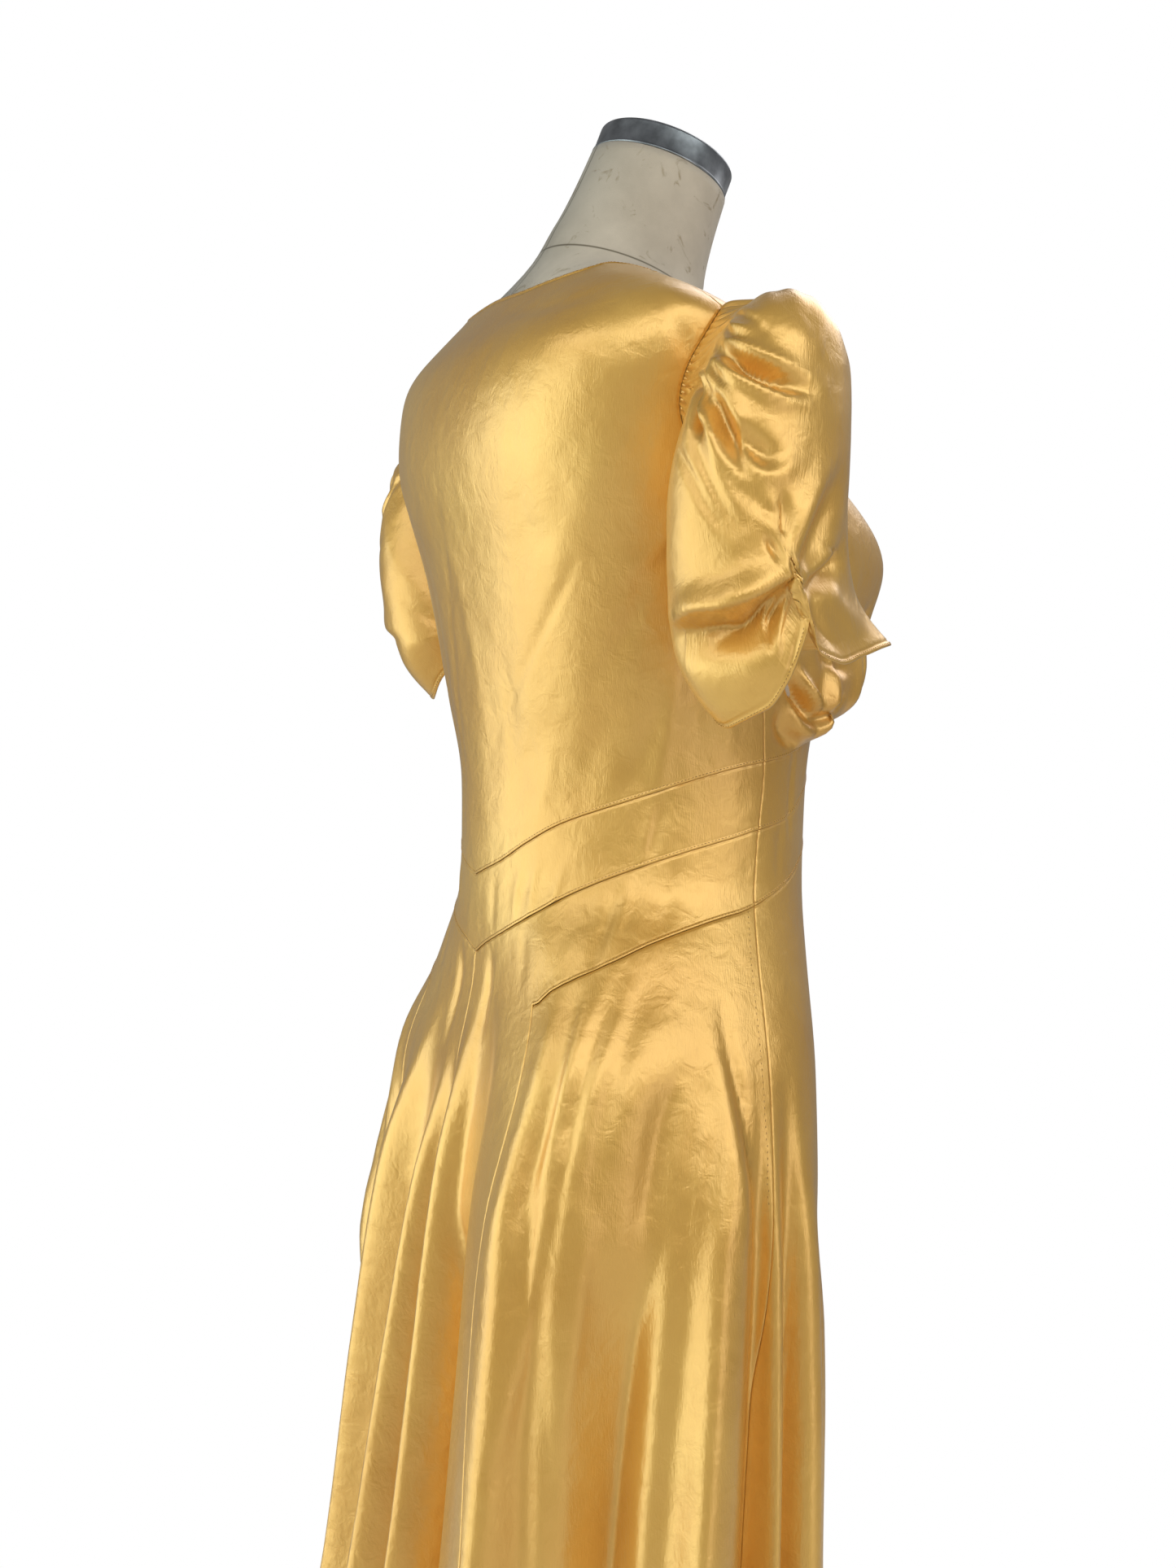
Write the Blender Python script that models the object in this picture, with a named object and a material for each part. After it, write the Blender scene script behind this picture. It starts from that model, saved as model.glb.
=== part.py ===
"""Bias-cut satin evening gown on a limbless dress form that stands on a pole and base.

Metres, Z up. The gown faces -Y and the wearer's right is at -X. The origin is on the
floor under the middle of the base.

Most cloth lies on one face of revolution-like sections, addressed by two numbers: the
angle in degrees from centre back (0) by the right side (90) to centre front (180),
negative on the left, and the station, a length measured up the garment.
"""
import math

import bmesh
import bpy
import numpy as np
from mathutils import Matrix, Vector

# Driving dimensions
CLOTH = 0.0015
SEAM_GAP = 0.0003
HEM_HEIGHT = 0.015
FORM_FOOT = 0.850
NECK_TOP = 1.483
CAP_HEIGHT = 0.0185
CAP_RADIUS = 0.0448
BASE_RADIUS = 0.150
BASE_HEIGHT = 0.014
HUB_RADIUS = 0.028
HUB_HEIGHT = 0.060
POLE_RADIUS = 0.0125

# Sections of the gown's outer face from hem to neck
# height, half width, back, front, widest at y, lean in degrees, squareness of the back
SECTIONS = (
    (HEM_HEIGHT, 0.285, 0.330, 0.175, 0.040, 0.0, 0.000),
    (0.300, 0.235, 0.250, 0.120, 0.026, 0.0, 0.030),
    (0.600, 0.176, 0.155, 0.073, 0.004, 0.0, 0.090),
    (0.750, 0.171, 0.140, 0.081, 0.000, 0.0, 0.110),
    (0.850, 0.169, 0.132, 0.084, 0.000, 0.0, 0.115),
    (0.930, 0.160, 0.119, 0.088, 0.000, 0.0, 0.115),
    (0.998, 0.139, 0.107, 0.0925, -0.004, 0.0, 0.060),
    (1.045, 0.1235, 0.107, 0.0965, -0.010, 0.0, 0.000),
    (1.100, 0.121, 0.107, 0.100, -0.010, 0.0, 0.000),
    (1.160, 0.129, 0.113, 0.102, 0.000, 0.0, 0.020),
    (1.230, 0.143, 0.122, 0.102, 0.010, 0.0, 0.030),
    (1.300, 0.160, 0.136, 0.081, 0.022, 2.0, 0.040),
    (1.345, 0.171, 0.128, 0.066, 0.030, 5.0, 0.040),
    (1.366, 0.171, 0.110, 0.057, 0.034, 8.0, 0.020),
    (1.382, 0.151, 0.095, 0.050, 0.036, 12.0, 0.000),
    (1.396, 0.111, 0.082, 0.044, 0.032, 16.0, 0.000),
    (1.408, 0.069, 0.068, 0.042, 0.016, 20.0, 0.000),
    (1.425, 0.051, 0.054, 0.042, 0.006, 22.0, 0.000),
    (1.455, 0.0465, 0.038, 0.049, -0.005, 22.0, 0.000),
    (NECK_TOP, 0.0445, 0.0250, 0.0585, -0.017, 22.0, 0.000),
)

# Fullness of the bust: x, height, half width, half height, forward
BUST = (
    (0.074, 1.236, 0.046, 0.046, 0.051),
    (-0.074, 1.236, 0.046, 0.046, 0.051),
)

# Seams that ring the waist, the same on both sides: angle, height
BODICE_SEAM = (
    (0.0, 1.0449), (14.5, 1.0540), (26.0, 1.0655), (37.5, 1.0765), (58.0, 1.0900),
    (79.0, 1.1035), (91.0, 1.1096), (102.5, 1.1130), (114.0, 1.1165), (140.0, 1.1330), (180.0, 1.1650),
)
BAND_SEAM = (
    (0.0, 0.9975), (5.0, 1.0035), (14.5, 1.0118), (30.5, 1.0260), (40.5, 1.0355), (59.5, 1.0505),
    (79.0, 1.0632), (96.5, 1.0720), (105.0, 1.0750), (118.5, 1.0807), (134.0, 1.0950), (180.0, 1.1270),
)
SKIRT_SEAM = (
    (0.0, 0.9722), (27.0, 0.9722), (34.0, 0.9810), (44.0, 0.9900), (54.5, 0.9986), (65.0, 1.0085),
    (82.0, 1.0210), (95.5, 1.0282), (105.5, 1.0345), (118.5, 1.0430), (134.0, 1.0560), (180.0, 1.0880),
)

# Seams that run down, right side: height, angle
SIDE_SEAM = (
    (HEM_HEIGHT, 86.0), (0.300, 86.0), (0.600, 87.0), (0.746, 88.5), (0.810, 91.5), (0.860, 93.8),
    (0.907, 95.5), (0.949, 96.2), (1.029, 96.5), (1.054, 98.0), (1.114, 102.3), (1.257, 97.0),
)
GORE_SEAM = (
    (HEM_HEIGHT, 32.0), (0.400, 30.5), (0.662, 28.0), (0.754, 24.2), (0.806, 22.6),
    (0.851, 23.8), (0.914, 25.8), (0.9722, 27.0),
)

# Heights at which the skirt, band and bodice seams cross the side seam
SIDE_CROSSINGS = (1.0285, 1.0720, 1.1130)

# Neckline: angle, height
BACK_NECKLINE = (
    (0.0, 1.3840), (14.0, 1.3832), (28.0, 1.3862), (45.0, 1.3920), (58.5, 1.3984), (84.0, 1.4015),
)
FRONT_NECKLINE = (
    (84.0, 1.4015), (108.0, 1.4000), (130.0, 1.3945), (150.0, 1.3850),
    (162.0, 1.3660), (170.0, 1.3380), (180.0, 1.2950),
)

# Armhole: an almond between the shoulder tip and the underarm
ARMHOLE_ANGLE = 97.0
ARMHOLE_HALF_WIDTH = 18.0
ARMHOLE_TOP = 1.370
ARMHOLE_FOOT = 1.257
ARMHOLE_TIP = (ARMHOLE_ANGLE, ARMHOLE_TOP)
ARMHOLE_STEPS = 8
ARMHOLE_ROUNDNESS = 0.9

# Folds of the flared skirt: angle at hip, angle at hem, height where it starts,
# depth at the hem (out is positive), half width in degrees
SKIRT_FOLDS = (
    (1.0, 0.0, 0.975, 0.034, 4.6),
    (10.5, 13.0, 0.965, -0.042, 4.6),
    (17.5, 21.0, 0.900, 0.014, 4.0),
    (24.0, 31.0, 0.950, 0.022, 4.4),
    (32.0, 38.0, 0.890, -0.020, 4.0),
    (38.0, 45.0, 0.930, 0.022, 4.8),
    (50.0, 54.0, 0.950, -0.024, 6.0),
    (57.0, 62.0, 0.880, 0.022, 5.0),
    (66.0, 70.0, 0.920, -0.030, 6.0),
    (81.0, 80.0, 0.950, 0.034, 6.5),
    (90.0, 91.0, 0.900, -0.026, 4.5),
    (96.0, 99.0, 0.860, 0.018, 4.0),
    (103.0, 108.0, 0.980, -0.026, 5.0),
    (114.0, 118.0, 0.900, 0.028, 6.0),
    (127.0, 130.0, 0.880, -0.026, 6.0),
    (139.0, 141.0, 0.880, 0.030, 6.5),
    (152.0, 153.0, 0.860, -0.028, 6.0),
    (166.0, 166.0, 0.870, 0.028, 6.5),
    (179.0, 179.0, 0.850, -0.026, 5.5),
    (-7.0, -8.0, 0.930, -0.030, 4.0),
    (-12.5, -16.0, 0.900, 0.028, 4.0),
    (-18.5, -24.0, 0.975, -0.032, 4.0),
    (-29.0, -34.0, 0.960, 0.032, 6.0),
    (-41.0, -46.0, 0.920, -0.028, 5.5),
    (-53.0, -57.0, 0.900, 0.028, 6.0),
    (-66.0, -69.0, 0.930, -0.030, 6.0),
    (-80.0, -81.0, 0.940, 0.032, 6.5),
    (-93.0, -94.0, 0.900, -0.028, 6.0),
    (-105.0, -107.0, 0.900, 0.028, 6.0),
    (-119.0, -120.0, 0.890, -0.028, 6.0),
    (-132.0, -133.0, 0.880, 0.030, 6.5),
    (-147.0, -147.0, 0.870, -0.028, 6.5),
    (-163.0, -163.0, 0.870, 0.030, 6.5),
)
FOLD_GROWTH = 1.15

# Fullness gathered into the bodice seam under the bust
BLOUSE_FROM = 112.0
BLOUSE_FULL = 134.0
BLOUSE_OUT = 0.019
BLOUSE_RISE = 0.019
GATHER_SPACING = 9.92
GATHER_DEPTH = 0.0045

# Rings of the puff sleeve: along, top outward, top height, underarm outward,
# underarm height, half depth, middle at y
SLEEVE_RINGS = (
    (0.00, 0.171, 1.370, 0.158, 1.257, 0.040, 0.012),
    (0.10, 0.190, 1.364, 0.166, 1.251, 0.044, 0.014),
    (0.25, 0.225, 1.367, 0.172, 1.240, 0.050, 0.018),
    (0.40, 0.247, 1.356, 0.174, 1.228, 0.053, 0.022),
    (0.55, 0.257, 1.325, 0.175, 1.215, 0.052, 0.026),
    (0.70, 0.261, 1.282, 0.176, 1.203, 0.051, 0.028),
    (0.85, 0.263, 1.240, 0.176, 1.190, 0.050, 0.022),
    (1.00, 0.262, 1.203, 0.175, 1.178, 0.047, -0.005),
)
# Shape of the sleeve hem, drawn up at its outer middle: around, outward, back, down
SLEEVE_HEM = (
    (0.0, 0.000, 0.033, 0.000), (45.0, 0.001, 0.004, 0.041), (90.0, -0.003, 0.000, 0.060),
    (135.0, -0.001, 0.012, 0.032), (180.0, -0.001, 0.015, 0.003), (225.0, -0.008, 0.008, 0.006),
    (270.0, -0.007, -0.007, 0.013), (315.0, -0.009, 0.013, 0.031), (360.0, 0.000, 0.033, 0.000),
)
SLEEVE_HEM_STARTS = 0.62
LEFT_SLEEVE_BACK = 0.013
LEFT_SLEEVE_LIFT = 0.030
# Main folds of the sleeve: around and along at one end, then the other, depth, half width
SLEEVE_FOLDS = (
    (58.0, 0.16, 4.0, 0.34, 0.0080, 0.0075),
    (92.0, 0.14, 44.0, 0.42, 0.0090, 0.0085),
    (44.0, 0.42, 8.0, 0.45, 0.0060, 0.0085),
    (104.0, 0.30, 62.0, 0.66, 0.0040, 0.0070),
    (112.0, 0.80, 8.0, 0.93, 0.0085, 0.0080),
    (302.0, 0.16, 352.0, 0.34, 0.0080, 0.0080),
    (270.0, 0.16, 318.0, 0.46, 0.0080, 0.0085),
    (330.0, 0.50, 352.0, 0.86, 0.0050, 0.0080),
)
SLEEVE_ALONG = (0.0, 0.03, 0.08, 0.15, 0.25, 0.37, 0.50, 0.63, 0.76, 0.88, 1.0)
SLEEVE_COARSE_FROM = 6
SLEEVE_DEGREE = 0.0009
SLEEVE_LENGTH = 0.16
SLEEVE_GATHERS = 6
SLEEVE_GATHER_DEPTH = 0.0034
SLEEVE_GATHERED_TO = 0.62

# Space between cloth and form, and none on the bare neck: height, from the gown's outer face
FORM_INSET = (
    (FORM_FOOT, 0.0095), (0.930, 0.0075), (1.000, 0.0064), (1.060, 0.0054), (1.300, 0.0050),
    (1.335, 0.0066), (1.372, 0.0064), (1.388, 0.0048), (1.405, 0.0041), (1.430, 0.0), (NECK_TOP, 0.0),
)
FORM_BUST = 0.86
FORM_SHOULDER_LEVELS = (1.318, 1.342, 1.358, 1.370, 1.381, 1.391, 1.400, 1.409, 1.424, 1.450, NECK_TOP)

# Shares of the way from hem to waist at which the skirt's cross rows lie
SKIRT_ROWS = (0.0, 0.17, 0.33, 0.48, 0.61, 0.72, 0.81, 0.88, 0.94, 1.0)
BODICE_ROWS = (0.0, 0.16, 0.36, 0.66, 1.0)
# Columns over a shoulder seam and half the back neckline, and from side seam to gathers
SHOULDER_STEPS = 14
NECK_STEPS = 6
PLAIN_STEPS = 3
GATHERED_FROM = 118.0
BAND_ROWS = (0.0, 0.5, 1.0)


def read_table(table, at):
    """Read a table's other columns at places along its first one, with no overshoot."""
    rows = np.array(table, dtype=float)
    places, values = rows[:, 0], rows[:, 1:]
    rates = np.diff(values, axis=0) / np.diff(places)[:, None]
    before, after = rates[:-1], rates[1:]
    agree = before * after > 0.0
    slopes = np.zeros_like(values)
    slopes[0], slopes[-1] = rates[0], rates[-1]
    slopes[1:-1] = np.where(agree, 2.0 * before * after / np.where(agree, before + after, 1.0), 0.0)
    at = np.asarray(at, dtype=float)
    low = np.clip(np.searchsorted(places, at) - 1, 0, len(places) - 2)
    step = (places[low + 1] - places[low])[..., None]
    t = (np.clip(at, places[0], places[-1]) - places[low])[..., None] / step
    result = (2 * t**3 - 3 * t**2 + 1) * values[low] + (t**3 - 2 * t**2 + t) * step * slopes[low]
    result += (3 * t**2 - 2 * t**3) * values[low + 1] + (t**3 - t**2) * step * slopes[low + 1]
    return np.moveaxis(result, -1, 0)


def ramp(value, start, end):
    """Smooth step from 0 at start to 1 at end."""
    t = np.clip((np.asarray(value, dtype=float) - start) / (end - start), 0.0, 1.0)
    return t * t * (3.0 - 2.0 * t)


# The sections again, with their station in front of their height
SECTION_ROWS = np.array(SECTIONS)
SECTION_STEPS = np.linalg.norm(np.diff(SECTION_ROWS[:, :3], axis=0), axis=1)
SECTION_STATIONS = np.concatenate(([0.0], np.cumsum(SECTION_STEPS)))
STATION_TABLE = np.column_stack((SECTION_STATIONS, SECTION_ROWS))
FINE_STATIONS = np.linspace(0.0, SECTION_STATIONS[-1], 3000)
FINE_HEIGHTS = read_table(STATION_TABLE, FINE_STATIONS)[0]


def station_of(height):
    return np.interp(height, FINE_HEIGHTS, FINE_STATIONS)


def section_point(angle, station):
    """A point of the plain sections, before bust and folds."""
    height, half_width, back, front, widest, lean, square = read_table(STATION_TABLE, station)
    turn = np.radians(angle)
    square = square * (0.5 + 0.5 * np.cos(turn))
    across = (np.sin(turn) + square * np.sin(3 * turn)) / (1.0 - square)
    along = (np.cos(turn) - square * np.cos(3 * turn)) / (1.0 - square)
    depth = np.where(np.cos(turn) >= 0.0, back - widest, front + widest) * along
    rise = depth * np.tan(np.radians(lean))
    return np.stack((-half_width * across, widest + depth, height + rise), axis=-1)


def with_bust(points, angle, share):
    """Move the front forward where the bust fills it."""
    points = points.copy()
    facing = ramp(-np.cos(np.radians(angle)), -0.15, 0.45)
    for x, height, half_width, half_height, forward in BUST:
        spread = ((points[..., 0] - x) / half_width)**2 + ((points[..., 2] - height) / half_height)**2
        points[..., 1] -= share * forward * facing * np.exp(-0.5 * spread)
    return points


def fold_depth(angle, height):
    """How far the skirt's folds stand out from its sections."""
    total = np.zeros(np.broadcast(angle, height).shape)
    for hip, hem, start, depth, half_width in SKIRT_FOLDS:
        fall = np.clip((start - height) / (start - HEM_HEIGHT), 0.0, 1.0)
        centre = hip + (hem - hip) * fall
        away = (angle - centre + 180.0) % 360.0 - 180.0
        total += depth * fall**FOLD_GROWTH * np.exp(-(away / half_width)**2)
    return total


def blouse_depth(angle, height):
    """How far the fullness under the bust stands out above the bodice seam."""
    side = np.abs(angle)
    above = np.clip(height - read_table(BODICE_SEAM, side)[0], 0.0, None)
    swell = above / BLOUSE_RISE * np.exp(1.0 - above / BLOUSE_RISE)
    full = ramp(side, BLOUSE_FROM, BLOUSE_FULL) * (1.0 - 0.35 * ramp(side, 165.0, 180.0))
    pleat = GATHER_DEPTH * np.cos(2.0 * math.pi * side / GATHER_SPACING)
    return swell * full * (BLOUSE_OUT * (1.0 - ramp(above, 0.030, 0.085)) + pleat)


def gown_point(angle, station):
    """A point of the gown's outer face."""
    angle, station = np.broadcast_arrays(np.asarray(angle, float), np.asarray(station, float))
    points = with_bust(section_point(angle, station), angle, 1.0)
    height = read_table(STATION_TABLE, station)[0]
    out = fold_depth(angle, height) + blouse_depth(angle, height)
    points[..., 0] -= out * np.sin(np.radians(angle))
    points[..., 1] += out * np.cos(np.radians(angle))
    return points


def form_point(angle, station):
    """A point of the dress form, inside the gown and bare at the neck."""
    def bare(a, s):
        return with_bust(section_point(a, s), a, FORM_BUST)
    inset = read_table(FORM_INSET, read_table(STATION_TABLE, station)[0])[0]
    return bare(angle, station) - face_normal(bare, angle, station) * inset[..., None]


def face_normal(face, first, second):
    """Outward unit normals of a face given by two numbers."""
    first_step, second_step = 0.05, 0.0002
    across = face(first + first_step, second) - face(first - first_step, second)
    up = face(first, second + second_step) - face(first, second - second_step)
    normal = np.cross(across, up)
    return normal / np.linalg.norm(normal, axis=-1, keepdims=True)


def seam_row(seam, angles):
    """Angle and station pairs along a seam that rings the body."""
    heights = read_table(seam, np.abs(angles))[0]
    return np.column_stack((angles, station_of(heights)))


def seam_angle(seam, station):
    """Angle of a seam that runs down, at a station."""
    return read_table(seam, np.interp(station, FINE_STATIONS, FINE_HEIGHTS))[0]


def run_between(lower, upper, shares, seam_left=None, seam_right=None):
    """A block of points from a lower row to an upper row, its ends held on two seams."""
    share = np.array(shares)[:, None, None]
    block = lower[None] * (1.0 - share) + upper[None] * share
    width = block[:, -1:, 0] - block[:, :1, 0]
    place = (block[:, :, 0] - block[:, :1, 0]) / width
    left, right = block[:, :1, 0].copy(), block[:, -1:, 0].copy()
    if seam_left:
        left[:, 0] = seam_left(block[:, 0, 1])
    if seam_right:
        right[:, 0] = seam_right(block[:, -1, 1])
    block[:, :, 0] = left + (right - left) * place
    return block


def patch(lower, upper, left, right):
    """A block of points that fills four edges: left and right run upwards."""
    u = np.linspace(0.0, 1.0, len(lower))[None, :, None]
    v = np.linspace(0.0, 1.0, len(left))[:, None, None]
    ruled = lower[None] * (1 - v) + upper[None] * v + left[:, None] * (1 - u) + right[:, None] * u
    corners = (lower[0] * (1 - u) + lower[-1] * u) * (1 - v) + (upper[0] * (1 - u) + upper[-1] * u) * v
    return ruled - corners


def spaced(points, count):
    """Points spaced evenly in real length along a run of angle and station pairs."""
    fine = np.array(points)
    place = gown_point(fine[:, 0], fine[:, 1])
    run = np.concatenate(([0.0], np.cumsum(np.linalg.norm(np.diff(place, axis=0), axis=1))))
    at = np.linspace(0.0, run[-1], count + 1)
    return np.column_stack((np.interp(at, run, fine[:, 0]), np.interp(at, run, fine[:, 1])))


def right_side(station):
    return seam_angle(SIDE_SEAM, station)


def left_side(station):
    return -seam_angle(SIDE_SEAM, station)


def left_side_from_front(station):
    return 360.0 - seam_angle(SIDE_SEAM, station)


def shoulder_run():
    """The right shoulder seam from its tip to the neckline, as a fine run."""
    neck_angle, neck_height = BACK_NECKLINE[-1]
    return np.linspace((ARMHOLE_TIP[0], station_of(ARMHOLE_TIP[1])), (neck_angle, station_of(neck_height)), 40)


def neckline_run(table, reverse=False):
    """A neckline as a fine run of angle and station pairs."""
    angles = np.linspace(table[0][0], table[-1][0], 200)
    run = np.column_stack((angles, station_of(read_table(table, angles)[0])))
    return run[::-1] if reverse else run


def armhole_edge(side, half, steps=ARMHOLE_STEPS):
    """The armhole from underarm to shoulder tip: half is -1 at the back, 1 at the front."""
    rise = np.linspace(0.0, 1.0, steps + 1)
    angle = ARMHOLE_ANGLE + half * ARMHOLE_HALF_WIDTH * np.sin(math.pi * rise)**ARMHOLE_ROUNDNESS
    height = ARMHOLE_FOOT + (ARMHOLE_TOP - ARMHOLE_FOOT) * rise
    return np.column_stack((side * angle, station_of(height)))


def mirrored(block):
    """The same block on the other side of the body, still running left to right."""
    other = block[:, ::-1].copy()
    other[..., 0] *= -1.0
    return other


def make_material(name, colour, roughness, metallic=0.0):
    material = bpy.data.materials.new(name)
    material.use_nodes = True
    shader = material.node_tree.nodes["Principled BSDF"]
    shader.inputs["Base Color"].default_value = (*colour, 1.0)
    shader.inputs["Roughness"].default_value = roughness
    shader.inputs["Metallic"].default_value = metallic
    return material


def add_object(name, bm, material, smooth=True):
    """Put a finished mesh into the scene as one named piece."""
    bmesh.ops.recalc_face_normals(bm, faces=bm.faces[:])
    mesh = bpy.data.meshes.new(name)
    bm.to_mesh(mesh)
    bm.free()
    if smooth:
        mesh.shade_smooth()
        mesh.set_sharp_from_angle(angle=math.radians(50.0))
    piece = bpy.data.objects.new(name, mesh)
    mesh.materials.append(material)
    bpy.context.scene.collection.objects.link(piece)
    return piece


def laid_grid(bm, block, layers, coarse_from):
    """Add a grid, note each point's two numbers, and halve its columns from one row on."""
    rows, columns = block.shape[0] - 1, block.shape[1] - 1
    made = bmesh.ops.create_grid(bm, x_segments=columns, y_segments=rows, size=1.0)
    grid = {}
    for vert in made["verts"]:
        column = round((vert.co.x + 1.0) * 0.5 * columns)
        row = round((vert.co.y + 1.0) * 0.5 * rows)
        vert[layers[0]], vert[layers[1]] = block[row, column]
        grid[row, column] = vert
    spare = {grid[r, c]: grid[r, c - 1] for r, c in grid if r >= coarse_from and c % 2 == 1}
    bmesh.ops.weld_verts(bm, targetmap=spare)


def seam_shift(bm):
    """Direction and share of the seam gap by which each edge point draws back."""
    shifts = {}
    for vert in bm.verts:
        inward = []
        for edge in vert.link_edges:
            if edge.is_boundary:
                along = (edge.verts[1].co - edge.verts[0].co).normalized()
                across = edge.link_faces[0].calc_center_median() - vert.co
                inward.append((across - along * across.dot(along)).normalized())
        if len(inward) == 2:
            shifts[vert] = (inward[0] + inward[1]) / (1.0 + inward[0].dot(inward[1]))
    return shifts


def cloth_wall(name, material, blocks, face=gown_point, coarse_from=1000):
    """One piece of cloth: grids placed on a face, joined, and given their thickness inwards."""
    bm = bmesh.new()
    layers = (bm.verts.layers.float.new("first"), bm.verts.layers.float.new("second"))
    for block in blocks:
        laid_grid(bm, block, layers, coarse_from)
        coarse_from -= block.shape[0] - 1
    numbers = np.array([(vert[layers[0]], vert[layers[1]]) for vert in bm.verts])
    places = face(numbers[:, 0], numbers[:, 1])
    normals = face_normal(face, numbers[:, 0], numbers[:, 1])
    store = bm.verts.layers.float_vector.new("normal")
    for vert, place, normal in zip(bm.verts, places, normals):
        vert.co = place
        vert[store] = normal
    bmesh.ops.remove_doubles(bm, verts=bm.verts[:], dist=0.00002)
    for vert, shift in seam_shift(bm).items():
        vert.co += shift * 0.5 * SEAM_GAP
    outer = set(bm.verts)
    made = bmesh.ops.extrude_face_region(bm, geom=bm.faces[:], use_keep_orig=True)
    for item in made["geom"]:
        if isinstance(item, bmesh.types.BMVert):
            item.co -= item[store] * CLOTH
    split_rim(bm, outer, layers)
    return add_object(name, bm, material)


def split_rim(bm, outer, layers):
    """Cut each rim face along the diagonal that its neighbour across the seam also has."""
    def order(vert):
        return (round(vert[layers[1]], 6), round(vert[layers[0]], 6))
    for face in bm.faces[:]:
        outside = sorted((vert for vert in face.verts if vert in outer), key=order)
        inside = sorted((vert for vert in face.verts if vert not in outer), key=order)
        if len(outside) == 2 and len(inside) == 2:
            bmesh.utils.face_split(face, outside[0], inside[1])


def back_rows():
    """Rows of the back bodice shared by its two blocks: bodice seam and underarm line."""
    share = np.linspace(-1.0, 1.0, 2 * (SHOULDER_STEPS + NECK_STEPS) + 1)
    seam = seam_row(BODICE_SEAM, share * right_side(station_of(SIDE_CROSSINGS[2])))
    level = ARMHOLE_ANGLE * share
    dip = 0.034 * (1.0 - (level / ARMHOLE_ANGLE)**2)
    return seam, np.column_stack((level, station_of(ARMHOLE_FOOT - dip)))


def back_bodice(satin):
    """The plain back in one piece, from the bodice seam to the neckline."""
    seam, level = back_rows()
    right_shoulder = spaced(shoulder_run()[::-1], SHOULDER_STEPS)
    neck = spaced(neckline_run(BACK_NECKLINE), NECK_STEPS)
    right_top = np.vstack((neck[:-1], right_shoulder))
    left_top = mirrored(right_top[None])[0]
    top = np.vstack((left_top[:-1], right_top))
    upper = patch(level, top, armhole_edge(-1, -1), armhole_edge(1, -1))
    lower = run_between(seam, level, BODICE_ROWS, left_side, right_side)
    cloth_wall("back_bodice", satin, [lower, upper])


def front_bodice_blocks():
    """The right half of the front: gathered below the bust, cut to a V at the neck."""
    side = float(right_side(station_of(SIDE_CROSSINGS[2])))
    gathered = 2 * SHOULDER_STEPS - PLAIN_STEPS
    angles = np.concatenate((
        np.linspace(side, GATHERED_FROM, PLAIN_STEPS + 1)[:-1], np.linspace(GATHERED_FROM, 180.0, gathered + 1)))
    seam = seam_row(BODICE_SEAM, angles)
    share = (angles - side) / (180.0 - side)
    level = ARMHOLE_ANGLE + (180.0 - ARMHOLE_ANGLE) * share
    dip = 0.022 * np.sin(0.5 * math.pi * share)
    line = np.column_stack((level, station_of(ARMHOLE_FOOT - dip)))
    lower = run_between(seam, line, BODICE_ROWS, right_side)
    centre = np.array(((180.0, line[-1, 1]), (180.0, station_of(FRONT_NECKLINE[-1][1]))))
    edge = np.vstack((np.linspace(centre[0], centre[1], 20)[:-1], neckline_run(FRONT_NECKLINE, reverse=True)))
    top = spaced(shoulder_run(), len(line) - 1)
    upper = patch(line, top, armhole_edge(1, 1), spaced(edge, ARMHOLE_STEPS))
    return [lower, upper]


def front_bodice(satin):
    blocks = front_bodice_blocks()
    cloth_wall("front_bodice_right", satin, blocks, coarse_from=5)
    cloth_wall("front_bodice_left", satin, [mirrored(block) for block in blocks], coarse_from=5)


def waist_bands(satin):
    """Two chevron bands; the lower one runs into the skirt at the back."""
    side_low, side_mid, side_high = (float(right_side(station_of(z))) for z in SIDE_CROSSINGS)
    share = np.linspace(-1.0, 1.0, 37)
    low, high = seam_row(BAND_SEAM, side_mid * share), seam_row(BODICE_SEAM, side_high * share)
    cloth_wall("upper_band_back", satin, [run_between(low, high, BAND_ROWS, left_side, right_side)])
    share = np.linspace(0.0, 1.0, 31)
    for name, low_seam, high_seam, low_side, high_side in (
            ("upper_band_front", BAND_SEAM, BODICE_SEAM, side_mid, side_high),
            ("lower_band_front", SKIRT_SEAM, BAND_SEAM, side_low, side_mid)):
        low = front_row(low_seam, low_side + (360.0 - 2.0 * low_side) * share)
        high = front_row(high_seam, high_side + (360.0 - 2.0 * high_side) * share)
        cloth_wall(name, satin, [run_between(low, high, BAND_ROWS, right_side, left_side_from_front)])


def front_row(seam, angles):
    """A seam row that runs on round the front past 180 degrees."""
    heights = read_table(seam, 180.0 - np.abs(angles - 180.0))[0]
    return np.column_stack((angles, station_of(heights)))


def level_row(angles, station):
    return np.column_stack((angles, np.full(len(angles), station)))


def gore_angle(station):
    return seam_angle(GORE_SEAM, station)


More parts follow.
